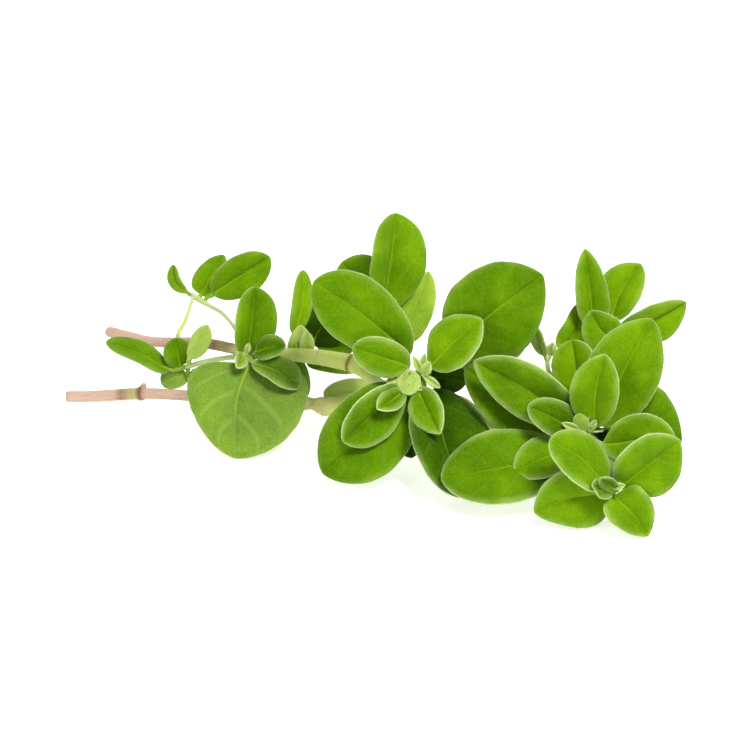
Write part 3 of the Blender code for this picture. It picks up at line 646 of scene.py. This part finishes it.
def midline(root, base, tip, facing, bow, bend):
    """A leaf's midline from root to tip: its points, its directions, and where its upper side faces."""
    length = np.linalg.norm(tip - base)
    run = unit(tip - base)
    upper = unit(facing - facing.dot(run) * run)
    side = np.cross(run, upper)
    middle = (base + tip) / 2 + (upper * bow + side * bend) * length
    curve = spline([root, base, middle, tip], (STALK_STEPS, HALF_BLADE_STEPS, HALF_BLADE_STEPS))
    directions = np.array([unit(step) for step in np.gradient(curve, axis=0)])
    uppers = np.empty_like(curve)
    halfway = STALK_STEPS + HALF_BLADE_STEPS
    uppers[halfway] = unit(upper - upper.dot(directions[halfway]) * directions[halfway])
    onwards = range(halfway + 1, len(curve))
    backwards = range(halfway - 1, -1, -1)
    for order, behind in ((onwards, -1), (backwards, 1)):
        for index in order:
            carried = uppers[index + behind]
            uppers[index] = unit(carried - carried.dot(directions[index]) * directions[index])
    return curve, directions, uppers


class Patch:
    """Points, faces and named values for each point, gathered into one mesh."""

    def __init__(self):
        self.points = []
        self.faces = []
        self.values = {}
        self.count = 0

    def add(self, points, faces, **values):
        self.points.append(points)
        self.faces.extend((np.asarray(faces) + self.count).tolist())
        for name, value in values.items():
            self.values.setdefault(name, []).append(np.broadcast_to(value, len(points)))
        self.count += len(points)

    def object(self, name, material, node):
        """The gathered mesh as a shown piece that stands for a node."""
        mesh = bpy.data.meshes.new(name)
        mesh.from_pydata(np.concatenate(self.points).tolist(), [], self.faces)
        for title, parts in self.values.items():
            mesh.attributes.new(title, "FLOAT", "POINT").data.foreach_set("value", np.concatenate(parts))
        mesh.shade_smooth()
        mesh.materials.append(material)
        item = bpy.data.objects.new(name, mesh)
        bpy.context.scene.collection.objects.link(item)
        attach(item, "root")
        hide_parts(node)
        SLOTS.get(node, "leaf_young")


def grid_faces(rows, columns, offset=0, flip=False):
    """Faces of a grid of points, row after row."""
    first = (np.arange(rows - 1)[:, None] * columns + np.arange(columns - 1)).ravel() + offset
    faces = np.stack([first, first + 1, first + columns + 1, first + columns], axis=1)
    return faces[:, ::-1] if flip else faces


def rim_faces(rows, columns):
    """Faces between the rims of an upper grid and the lower grid that follows it."""
    right_side = [row * columns + columns - 1 for row in range(1, rows)]
    last_row = [(rows - 1) * columns + column for column in range(columns - 2, -1, -1)]
    left_side = [row * columns for row in range(rows - 2, 0, -1)]
    loop = np.array(list(range(columns)) + right_side + last_row + left_side)
    after = np.roll(loop, -1)
    count = rows * columns
    return np.stack([after, loop, loop + count, after + count], axis=1)


def blade(patch, root, base, tip, leaf, facing, look, chance):
    """Adds one leaf with its stalk to a patch. Returns its two edges, for their down."""
    curve, directions, uppers = midline(root, base, tip, facing, leaf.bow, leaf.bend)
    steps = np.arange(len(curve))
    large = leaf.width > LARGE_WIDTH_MM
    halves = np.array(LARGE_COLUMNS if large else SMALL_COLUMNS)
    c = np.concatenate([-halves[:0:-1], halves])
    count = LARGE_ROWS if large else SMALL_ROWS
    u = np.linspace(0, 1, count)
    blade_shares = 0.45 * u + 0.55 * (1 - np.cos(math.pi * u)) / 2
    stalk = np.linspace(0, 1, 6)[:-1]
    shares = np.concatenate([np.zeros(len(stalk)), blade_shares])
    places = np.concatenate([stalk * STALK_STEPS, STALK_STEPS + 2 * HALF_BLADE_STEPS * blade_shares])
    centre = np.array([at_length(curve, steps, place) for place in places])
    upper = np.array([unit(at_length(uppers, steps, place)) for place in places])
    ahead = np.array([at_length(directions, steps, place) for place in places])
    across = np.cross(ahead, upper)
    across /= np.linalg.norm(across, axis=1)[:, None]
    narrowest = np.where(shares < 0.5, STALK_WIDTH_MM, TIP_WIDTH_MM)
    half = np.maximum(leaf.width * widening(shares, leaf.form), narrowest) / 2
    fold = math.radians(leaf.fold) * np.minimum(places / STALK_STEPS, 1)
    s, h, f = shares[:, None], half[:, None], fold[:, None]
    a = np.abs(c)[None, :]
    opened = ease(0.0, 0.25, s) * ease(0.0, 0.12, 1 - s)
    turns = 2 * math.pi * s * (3 + leaf.width / 8) + 2.5 * c + chance.uniform(0, 6)
    scallop = 1 + SCALLOP * opened * np.sin(turns)
    out = h * (c * scallop + look.skew * np.sin(math.pi * s) * (1 - c**2)) * np.cos(f)
    arch = a * (1 - a)
    wave = np.sin(2 * math.pi * (s * chance.uniform(1.6, 2.6) + chance.uniform(0, 1)) + (c > 0) * 1.9)
    rise = h * (np.sin(f) * (a + CUP * arch) + opened * (BULGE * 4 * arch + WAVE * wave * a**3))
    q = (s - look.slant * a**1.2) * look.veins + np.where(c < 0, 0.12, -0.06)
    line = (0.5 + 0.5 * np.cos(2 * math.pi * q)) ** 7
    seen = ease(0.03, 0.1, s) * ease(0.03, 0.1, 1 - s) * ease(0.02, 0.1, a) * ease(0.08, 0.3, 1 - a)
    line = line * seen
    grown = min(1.0, leaf.width / 10)
    quilt = (0.5 - 0.5 * np.cos(2 * math.pi * q)) * 4 * arch * opened * QUILT_MM * look.quilt * grown
    rib = np.exp(-((a * h / RIB_WIDTH_MM) ** 2)) * ease(0.0, 0.1, 1 - s)
    body = BLADE_THICKNESS_MM + (STALK_THICKNESS_MM - BLADE_THICKNESS_MM) * ease(0.88, 1.0, 1 - s)
    rounding = np.minimum(RIM_ROUNDING_MM, 0.6 * h)
    past = np.clip((a * h - (h - rounding)) / rounding, 0, 1)
    thick = body / 2 * np.sqrt(1 - 0.93 * past**2)
    sunk = line * VEIN_DEPTH_MM
    over = rise + thick + quilt * 0.6 - rib * RIB_DEPTH_MM * opened - sunk * look.quilt * grown
    under = rise - thick + quilt * 0.5 - rib * RIB_RIDGE_MM * grown - sunk * grown
    flat = centre[:, None, :] + across[:, None, :] * (out * MM)[:, :, None]
    top = flat + upper[:, None, :] * (over * MM)[:, :, None]
    bottom = flat + upper[:, None, :] * (under * MM)[:, :, None]
    rows, columns = len(places), len(c)
    faces = np.vstack([
        grid_faces(rows, columns),
        grid_faces(rows, columns, rows * columns, flip=True),
        rim_faces(rows, columns),
    ])
    edge = ((1 - a) * h).ravel()
    from_rib = (a * h).ravel()
    twice = lambda value: np.tile(np.broadcast_to(value, (rows, columns)).ravel(), 2)
    patch.add(
        np.vstack([top.reshape(-1, 3), bottom.reshape(-1, 3)]),
        faces,
        rim_mm=np.tile(edge, 2),
        rib_mm=np.tile(from_rib, 2),
        vein_turn=twice(q),
        lined=twice(seen * look.lined),
        share=twice(s),
        underside=np.repeat([0.0, 1.0], rows * columns),
        tone=look.tone + chance.uniform(-0.03, 0.03),
        pale=look.pale,
        rim=look.rim,
    )
    edges = []
    for column, sign in ((0, -1), (-1, 1)):
        line = (top[len(stalk):, column] + bottom[len(stalk):, column]) / 2
        edges.append((line, across[len(stalk):] * sign, upper[len(stalk):], ahead[len(stalk):]))
    return edges


def hair(patch, base, ahead, length, radius, turn):
    """Adds one hair: a slim closed pyramid."""
    side = unit(np.cross(ahead, [0.31, 0.52, 0.79]))
    other = np.cross(side, ahead)
    corners = [
        base + radius * (math.cos(turn + k) * side + math.sin(turn + k) * other)
        for k in (0, 2 * math.pi / 3, 4 * math.pi / 3)
    ]
    patch.add(
        np.array([*corners, base + ahead * length]),
        [(0, 1, 3), (1, 2, 3), (2, 0, 3), (2, 1, 0)],
    )


def edge_down(patch, edges, strength, chance):
    """Adds short hairs along a leaf's edges."""
    for line, outs, uppers, aheads in edges:
        along = lengths_along(line)
        places = np.arange(0.3 * MM, along[-1], HAIR_APART_MM * MM)
        for place in places + chance.uniform(-0.4, 0.4, len(places)) * HAIR_APART_MM * MM:
            at = at_length(np.hstack([line, outs, uppers, aheads]), along, place)
            lean = at[3:6] + at[6:9] * chance.uniform(-0.5, 0.7) + at[9:12] * chance.uniform(0.2, 0.9)
            length = chance.uniform(*HAIR_LENGTH_MM) * (0.5 + 0.5 * strength) * MM
            start = at[:3] - at[3:6] * 0.04 * MM
            hair(patch, start, unit(lean), length, HAIR_RADIUS_MM * MM, chance.uniform(0, 2))


def face_down(patch, edges, chance, apart):
    """Adds hairs over the upper face of a young leaf, which its two edges bound."""
    (left, _, uppers, aheads), (right, _, _, _) = edges
    along = lengths_along((left + right) / 2)
    for place in np.arange(0, along[-1], apart * MM):
        one = at_length(left, along, place)
        two = at_length(right, along, place)
        up = unit(at_length(uppers, along, place))
        ahead = at_length(aheads, along, place)
        for share in np.arange(0.1, 0.95, apart / max(apart, np.linalg.norm(two - one) / MM)):
            at = one + (two - one) * (share + chance.uniform(-0.05, 0.05))
            lean = unit(up + ahead * chance.uniform(0.1, 0.9) + (two - one) / MM * chance.uniform(-0.1, 0.1))
            hair(patch, at, lean, chance.uniform(*FACE_HAIR_LENGTH_MM) * MM, HAIR_RADIUS_MM * MM, 0.0)


def stem(patch, down, shoot, course, chance):
    """Adds a stem with its nodes, and its down where it is clear of the surface."""
    cut = OPEN_ENDS.get(shoot.name)
    sunk = SUNK_STARTS_MM.get(shoot.name, 0) * MM
    if sunk:
        back = course[0].copy()
        back[:3] -= unit(course[1, :3] - course[0, :3]) * sunk
        course = np.vstack([back, course])
    along = lengths_along(course)
    marks = [along]
    for ring in shoot.rings:
        marks.append((ring + np.linspace(-RING_REACH_MM, RING_REACH_MM, RING_ROWS)) * MM)
    marks = np.unique(np.clip(np.concatenate(marks), 0, along[-1]))
    marks = marks[np.concatenate([[True], np.diff(marks) > CLOSEST_ROWS_MM * MM])]
    rows = np.array([at_length(course, along, mark) for mark in marks])
    directions = np.array([unit(step) for step in np.gradient(rows[:, :3], axis=0)])
    side = np.array([unit(np.cross(step, [0.0, 0.0, 1.0])) for step in directions])
    over = np.cross(side, directions)
    turns = 2 * math.pi * np.arange(STEM_SIDES) / STEM_SIDES
    ringed = np.zeros(len(marks))
    radii = rows[:, 3].copy()
    for ring in shoot.rings:
        gap = marks / MM - ring
        radii += RING_SWELL_MM * MM * np.exp(-((gap / RING_LENGTH_MM) ** 2))
        radii -= GROOVE_DEPTH_MM * MM * np.exp(-((gap / GROOVE_WIDTH_MM) ** 2))
        ringed = np.maximum(ringed, np.exp(-((gap / RING_TINT_MM) ** 2)))
    if cut == "start":
        radii *= 1 - END_TAPER * np.exp(-marks / (END_TAPER_MM * MM))
    if cut == "end":
        radii *= 1 - END_TAPER * np.exp(-(marks[-1] - marks) / (END_TAPER_MM * MM))
    millimetres = marks[:, None] / MM
    ribs = 1 + 0.025 * np.sin(4 * turns + 0.03 * millimetres) + 0.012 * np.sin(7 * turns + 0.5 * millimetres)
    ribs = ribs + 0.012 * np.sin(2.1 * millimetres + turns)
    width = radii[:, None] * ribs
    turned = np.cos(turns)[None, :, None] * side[:, None, :] + np.sin(turns)[None, :, None] * over[:, None, :]
    points = rows[:, None, :3] + width[:, :, None] * turned
    points[:, :, 2] = np.maximum(points[:, :, 2], 0.0)
    hues = np.interp(marks / MM, *np.array(STEM_HUES[shoot.name], float).T)
    inwards = np.array(CAP_SHARES)
    caps = len(CAP_SHARES)
    centres = points[[0, -1]].mean(axis=1)
    start_cap, end_cap = (
        centre + (ring - centre) * inwards[:, None, None] for centre, ring in zip(centres, points[[0, -1]])
    )
    grid = np.concatenate([start_cap[::-1], points, end_cap])
    count = len(grid)
    pith = np.zeros(count)
    if cut == "start":
        pith[:caps] = 1 - inwards[::-1]
    if cut == "end":
        pith[-caps:] = 1 - inwards
    first = (np.arange(count - 1)[:, None] * STEM_SIDES + np.arange(STEM_SIDES)).ravel()
    after = (np.arange(count - 1)[:, None] * STEM_SIDES + (np.arange(STEM_SIDES) + 1) % STEM_SIDES).ravel()
    faces = np.stack([first, after, after + STEM_SIDES, first + STEM_SIDES], axis=1)
    ends = [list(range(STEM_SIDES))[::-1], list((count - 1) * STEM_SIDES + np.arange(STEM_SIDES))]
    spread = lambda value: np.repeat(value, STEM_SIDES)
    start = patch.count
    patch.add(
        grid.reshape(-1, 3),
        faces,
        hue=spread(np.pad(hues, caps, mode="edge")),
        ringed=spread(np.pad(ringed, caps)),
        pith=spread(pith),
        along=spread(np.pad(marks, caps, mode="edge") / MM),
        round_x=np.tile(np.cos(turns), count),
        round_y=np.tile(np.sin(turns), count),
    )
    for end in ends:
        patch.faces.append([int(corner) + start for corner in end])
    for mark in np.arange(0.4 * MM, along[-1] - 0.3 * MM, STEM_HAIR_APART_MM * MM):
        row = at_length(course, along, mark)
        ahead = unit(at_length(np.gradient(course[:, :3], axis=0), along, mark))
        turn = chance.uniform(0, 2 * math.pi)
        aside = unit(np.cross(ahead, [0.0, 0.0, 1.0]))
        out = math.cos(turn) * aside + math.sin(turn) * np.cross(aside, ahead)
        at = row[:3] + out * row[3] * 0.97
        lean = out + ahead * chance.uniform(-0.5, 0.6) + np.cross(out, ahead) * chance.uniform(-0.4, 0.4)
        length = chance.uniform(*STEM_HAIR_LENGTH_MM) * MM
        if at[2] > 0.5 * MM:
            hair(down, at, unit(lean), length, HAIR_RADIUS_MM * 0.8 * MM, turn)


def bud_leaves(length, course):
    """Pairs of young leaves closed round the end of a stem, each pair a quarter turn from the last."""
    end = course[-1, :3]
    ahead = unit(course[-1, :3] - course[-2, :3])
    side = unit(np.cross(ahead, UP))
    over = np.cross(side, ahead)
    for pair, (share, spread) in enumerate(BUD_PAIRS):
        reach = length * share
        lean = math.radians(spread)
        for half in (0, 1):
            turn = BUD_TURN + math.pi * (half + pair / 2)
            out = math.cos(turn) * side + math.sin(turn) * over
            base = end + (out * BUD_BASE_OUT_MM + ahead * BUD_BASE_AHEAD_MM) * MM
            tip = base + (ahead * math.cos(lean) + out * math.sin(lean)) * reach * MM
            width = reach * BUD_LEAF_WIDTH
            leaf = Leaf("bud", 0.0, (), (), width, fold=BUD_FOLD, bow=BUD_BOW, form="pointed")
            yield end - ahead * BUD_ROOT_BACK_MM * MM, base, tip, leaf, -out


class Nodes:
    """Shorthand for building a material's nodes."""

    def __init__(self, name):
        self.material = bpy.data.materials.new(name)
        self.material.use_nodes = True
        self.tree = self.material.node_tree
        self.shader = self.tree.nodes["Principled BSDF"]

    def feed(self, node, inputs):
        """Gives a node's inputs their values, or links them to the outputs of other nodes."""
        for key, value in inputs.items():
            if isinstance(value, bpy.types.NodeSocket):
                self.tree.links.new(value, node.inputs[key])
            else:
                node.inputs[key].default_value = value

    def new(self, kind):
        return self.tree.nodes.new("ShaderNode" + kind)

    def times(self, one, two):
        return self.math("MULTIPLY", one, two)

    def value(self, name):
        """A named value of the mesh's points."""
        node = self.new("Attribute")
        node.attribute_name = name
        return node.outputs["Fac"]

    def math(self, operation, one, two=0.0, clamp=False):
        node = self.new("Math")
        node.operation = operation
        node.use_clamp = clamp
        self.feed(node, {0: one, 1: two})
        return node.outputs[0]

    def between(self, value, low, high, low_out=0.0, high_out=1.0):
        """A smooth step of a value, from low_out at low to high_out at high."""
        node = self.new("MapRange")
        node.interpolation_type = "SMOOTHSTEP"
        limits = {"From Min": low, "From Max": high, "To Min": low_out, "To Max": high_out}
        self.feed(node, {"Value": value, **limits})
        return node.outputs["Result"]

    def mix(self, share, one, two):
        node = self.new("Mix")
        node.data_type = "RGBA"
        node.clamp_factor = True
        self.feed(node, {0: share, 6: one, 7: two})
        return node.outputs[2]

    def ramp(self, value, stops):
        node = self.new("ValToRGB")
        self.feed(node, {0: value})
        elements = node.color_ramp.elements
        while len(elements) < len(stops):
            elements.new(0.5)
        for element, (place, colour) in zip(elements, stops):
            element.position = place
            element.color = (*colour, 1.0)
        return node.outputs["Color"]

    def vector(self, x, y, z):
        node = self.new("CombineXYZ")
        self.feed(node, {0: x, 1: y, 2: z})
        return node.outputs[0]

    def here(self):
        """The point's place on the object, in metres."""
        return self.new("TexCoord").outputs["Object"]

    def noise(self, place, scale, detail=2.0, roughness=0.5):
        node = self.new("TexNoise")
        self.feed(node, {"Vector": place, "Scale": scale, "Detail": detail, "Roughness": roughness})
        return node.outputs[0]

    def bump(self, height, strength, distance):
        node = self.new("Bump")
        self.feed(node, {"Height": height, "Strength": strength, "Distance": distance})
        self.feed(self.shader, {"Normal": node.outputs["Normal"]})


GREENS = (
    (0.0, (0.003, 0.020, 0.0003)),
    (0.3, (0.027, 0.085, 0.0002)),
    (0.55, (0.094, 0.215, 0.0003)),
    (0.75, (0.185, 0.345, 0.0010)),
    (1.0, (0.38, 0.54, 0.05)),
)
# A thin pale line at the rim: the pale of the margin hairs with a painted edge highlight
RIM_COLOUR = (0.52, 0.65, 0.28, 1.0)
# Whitish down, also the colour of the painted sheen band near the rims
DOWN_AND_SHEEN_COLOUR = (0.46, 0.55, 0.18, 1.0)
SPECK_COLOUR = (0.33, 0.44, 0.05, 1.0)
RIB_COLOUR = (0.28, 0.42, 0.012, 1.0)
VEIN_COLOUR = (0.30, 0.42, 0.07, 1.0)
UNDER_COLOUR = (0.19, 0.28, 0.04, 1.0)

STEM_COLOURS = (
    (0.0, (0.52, 0.35, 0.26)),
    (0.22, (0.25, 0.15, 0.08)),
    (0.4, (0.33, 0.27, 0.10)),
    (0.5, (0.50, 0.43, 0.20)),
    (0.64, (0.58, 0.66, 0.14)),
    (0.82, (0.47, 0.58, 0.24)),
    (1.0, (0.08, 0.17, 0.015)),
)
STREAK_COLOUR = (0.30, 0.15, 0.10, 1.0)
STEM_DOWN_COLOUR = (0.62, 0.52, 0.38, 1.0)
RING_COLOUR = (0.16, 0.075, 0.035, 1.0)
PITH_COLOUR = (0.55, 0.48, 0.30, 1.0)
HAIR_COLOURS = ((0.62, 0.72, 0.42, 1.0), (0.88, 0.92, 0.78, 1.0))


def leaf_material():
    m = Nodes("oregano_leaf")
    inputs = m.shader.inputs
    here = m.here()
    blotch = m.noise(here, 150.0, 3.0)
    grain = m.noise(here, 2300.0, 3.0, 0.7)
    specks = m.noise(here, 3600.0, 2.0, 0.6)
    spread = m.times(m.math("SUBTRACT", blotch, 0.5), 0.42)
    fine = m.times(m.math("SUBTRACT", grain, 0.5), 0.32)
    # The tone gives each leaf's own green and, for leaves lying behind others, painted shade
    tone = m.math("ADD", m.math("ADD", m.value("tone"), spread), fine)
    colour = m.ramp(tone, GREENS)
    line = m.math("COSINE", m.times(m.value("vein_turn"), 2 * math.pi))
    line = m.times(m.between(line, 0.72, 1.0), m.value("lined"))
    colour = m.mix(line, colour, VEIN_COLOUR)
    share = m.value("share")
    rib = m.between(m.value("rib_mm"), 0.05, 0.34, 1.0, 0.0)
    rib = m.times(rib, m.between(share, 0.0, 0.9, 0.7, 0.1))
    # The midrib is dimmed on low-tone leaves, following their painted shade
    rib = m.times(rib, m.between(m.value("tone"), 0.0, 0.5, 0.2, 1.0))
    colour = m.mix(rib, colour, RIB_COLOUR)
    below = m.mix(m.times(rib, 0.8), UNDER_COLOUR, DOWN_AND_SHEEN_COLOUR)
    below = m.mix(line, below, DOWN_AND_SHEEN_COLOUR)
    colour = m.mix(m.value("underside"), colour, below)
    downy = m.times(m.value("pale"), m.between(grain, 0.25, 0.7, 0.6, 1.2))
    # A pale band along each rim, broken up by the blotch noise: painted sheen of the velvety surface where it
    # curves away
    rim_sheen_band = m.times(m.between(m.value("rim_mm"), 0.0, 1.9, 0.4, 0.0), m.value("rim"))
    rim_sheen_band = m.times(rim_sheen_band, m.between(blotch, 0.3, 0.7, 0.4, 1.1))
    # Specks are dimmed on low-tone leaves, following their painted shade
    light = m.between(m.value("tone"), 0.0, 0.5)
    specked = m.times(m.between(specks, 0.55, 0.75, 0.0, 0.35), light)
    colour = m.mix(specked, colour, SPECK_COLOUR)
    colour = m.mix(m.math("ADD", downy, rim_sheen_band, clamp=True), colour, DOWN_AND_SHEEN_COLOUR)
    # The thin rim line: the pale of the margin hairs with a painted edge highlight
    rim = m.between(m.value("rim_mm"), 0.03, 0.32, 1.0, 0.0)
    rim = m.times(rim, m.between(grain, 0.3, 0.65, 0.45, 1.0))
    colour = m.mix(m.times(rim, m.value("rim")), colour, RIM_COLOUR)
    m.feed(m.shader, {"Base Color": colour, "Roughness": m.between(grain, 0.2, 0.8, 0.55, 0.72)})
    inputs["Metallic"].default_value = 0.0
    inputs["Specular IOR Level"].default_value = 0.1
    inputs["Specular Tint"].default_value = (0.8, 1.0, 0.2, 1.0)
    inputs["Subsurface Weight"].default_value = 0.15
    inputs["Subsurface Radius"].default_value = (0.5, 0.9, 0.08)
    inputs["Subsurface Scale"].default_value = 0.0006
    inputs["Sheen Weight"].default_value = 0.08
    inputs["Sheen Roughness"].default_value = 0.4
    inputs["Sheen Tint"].default_value = (0.65, 0.85, 0.1, 1.0)
    m.bump(m.math("ADD", grain, specks), 0.6, 0.00008)
    return m.material


def stem_material():
    m = Nodes("oregano_stem")
    inputs = m.shader.inputs
    fibre = m.vector(
        m.times(m.value("round_x"), 2.2),
        m.times(m.value("round_y"), 2.2),
        m.times(m.value("along"), 0.12),
    )
    streaks = m.noise(fibre, 2.6, 4.0, 0.65)
    grain = m.noise(m.here(), 1800.0, 3.0, 0.6)
    hue = m.math("ADD", m.value("hue"), m.times(m.math("SUBTRACT", streaks, 0.5), 0.2))
    colour = m.ramp(hue, STEM_COLOURS)
    woody = m.between(m.value("hue"), 0.3, 0.7, 1.0, 0.25)
    streaked = m.times(m.between(streaks, 0.5, 0.75, 0.0, 0.4), woody)
    colour = m.mix(streaked, colour, STREAK_COLOUR)
    downy = m.times(m.between(grain, 0.5, 0.8, 0.0, 0.35), woody)
    colour = m.mix(downy, colour, STEM_DOWN_COLOUR)
    colour = m.mix(m.times(m.value("ringed"), 0.9), colour, RING_COLOUR)
    pith = m.between(m.value("pith"), 0.02, 0.35)
    colour = m.mix(pith, colour, PITH_COLOUR)
    m.feed(m.shader, {"Base Color": colour})
    inputs["Roughness"].default_value = 0.6
    inputs["Metallic"].default_value = 0.0
    inputs["Specular IOR Level"].default_value = 0.25
    inputs["Subsurface Weight"].default_value = 0.1
    inputs["Subsurface Radius"].default_value = (0.9, 0.5, 0.3)
    inputs["Subsurface Scale"].default_value = 0.0006
    inputs["Sheen Weight"].default_value = 0.12
    m.bump(m.math("ADD", m.times(streaks, 1.5), grain), 0.5, 0.00010)
    return m.material


def down_material():
    m = Nodes("oregano_down")
    inputs = m.shader.inputs
    colour = m.mix(m.noise(m.here(), 900.0), *HAIR_COLOURS)
    m.feed(m.shader, {"Base Color": colour})
    inputs["Roughness"].default_value = 0.6
    inputs["Metallic"].default_value = 0.0
    inputs["Specular IOR Level"].default_value = 0.3
    return m.material


def plant():
    """Every node's leaves, stems and down."""
    chance = np.random.default_rng(SEED)
    leaf_skin, stem_skin, down_skin = leaf_material(), stem_material(), down_material()
    patches = {}
    for shoot in SHOOTS:
        leaves, stems, down = patches.setdefault(shoot.node, (Patch(), Patch(), Patch()))
        course = stem_course(shoot)
        stem(stems, down, shoot, course, chance)
        for leaf in shoot.leaves:
            look = LEAF_LOOKS.get(shoot.name, {}).get(leaf.name, NODE_LOOKS[shoot.node])
            lean_right, lean_up = leaf.face
            facing = TOWARD + lean_right * RIGHT + lean_up * UP
            root = point_from_end(course, leaf.back)
            edges = blade(leaves, root, spot(leaf.base), spot(leaf.tip), leaf, facing, look, chance)
            if look.rim > 0.25:
                edge_down(down, edges, look.rim, chance)
        if shoot.bud:
            for root, base, tip, leaf, facing in bud_leaves(shoot.bud, course):
                edges = blade(leaves, root, base, tip, leaf, facing, BUD_LOOK, chance)
                edge_down(down, edges, 1.0, chance)
                face_down(down, edges, chance, BUD_DOWN_APART_MM)
    for node, base, tip, width in YOUNG:
        leaves, stems, down = patches[node]
        leaf = Leaf("young", 0.0, base, tip, width, fold=18, bow=0.06, form="pointed")
        root = spot(base) - TOWARD * 0.8 * MM
        edges = blade(leaves, root, spot(base), spot(tip), leaf, TOWARD, YOUNG_LOOK, chance)
        edge_down(down, edges, 1.0, chance)
        face_down(down, edges, chance, YOUNG_DOWN_APART_MM)
    for node, (leaves, stems, down) in patches.items():
        if leaves.count:
            leaves.object(node + "_leaves", leaf_skin, node)
        stems.object(node + "_stems", stem_skin, node)
        down.object(node + "_down", down_skin, node)


def studio():
    """The pale floor, the soft lights and the camera."""
    scene = bpy.context.scene
    bpy.ops.mesh.primitive_plane_add(size=6.0, location=(0.0, 0.0, -0.00002))
    floor = bpy.context.object
    floor.name = "floor"
    paper = Nodes("paper")
    paper.shader.inputs["Base Color"].default_value = (0.93, 0.93, 0.93, 1.0)
    paper.shader.inputs["Roughness"].default_value = 0.9
    paper.shader.inputs["Emission Color"].default_value = (1.0, 1.0, 1.0, 1.0)
    paper.shader.inputs["Emission Strength"].default_value = 0.6
    paper.shader.inputs["Specular IOR Level"].default_value = 0.1
    floor.data.materials.append(paper.material)
    floor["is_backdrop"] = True
    world = bpy.data.worlds.new("studio")
    world.use_nodes = True
    background = world.node_tree.nodes["Background"]
    background.inputs["Color"].default_value = (1.0, 1.0, 1.0, 1.0)
    background.inputs["Strength"].default_value = 0.3
    scene.world = world
    lights = (
        ("key", (0.28, -0.30, 0.78), 0.35, 8.7),
        ("fill", (-0.6, -0.5, 0.45), 0.6, 1.8),
        ("back", (0.1, 0.7, 0.6), 0.6, 3.0),
    )
    for name, place, size, power in lights:
        lamp = bpy.data.lights.new(name, "AREA")
        lamp.shape = "DISK"
        lamp.size = size
        lamp.energy = power
        item = bpy.data.objects.new(name, lamp)
        aim = np.array([0.0, 0.0, 0.02]) - np.array(place)
        away = -unit(aim)
        side = unit(np.cross([0.0, 0.0, 1.0], away))
        turn = np.array([side, np.cross(away, side), away]).T
        item.matrix_world = Matrix.Translation(place) @ Matrix(turn.tolist()).to_4x4()
        scene.collection.objects.link(item)
        item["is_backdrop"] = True
    lens = bpy.data.cameras.new("camera")
    lens.sensor_width = 36.0
    lens.lens = lens.sensor_width * VIEW_DISTANCE / (2 * FRAME_MIDDLE * PIXEL)
    lens.clip_start = 0.05
    lens.clip_end = 20.0
    camera = bpy.data.objects.new("camera", lens)
    camera.matrix_world = Matrix.Translation((MIDDLE + TOWARD * VIEW_DISTANCE).tolist()) @ Matrix(
        np.array([RIGHT, UP, TOWARD]).T.tolist()
    ).to_4x4()
    scene.collection.objects.link(camera)
    scene.camera = camera
    scene.view_settings.view_transform = "Standard"


plant()
studio()

sides = [[list(corner) for corner in found] for found in (solid_bounds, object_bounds())]
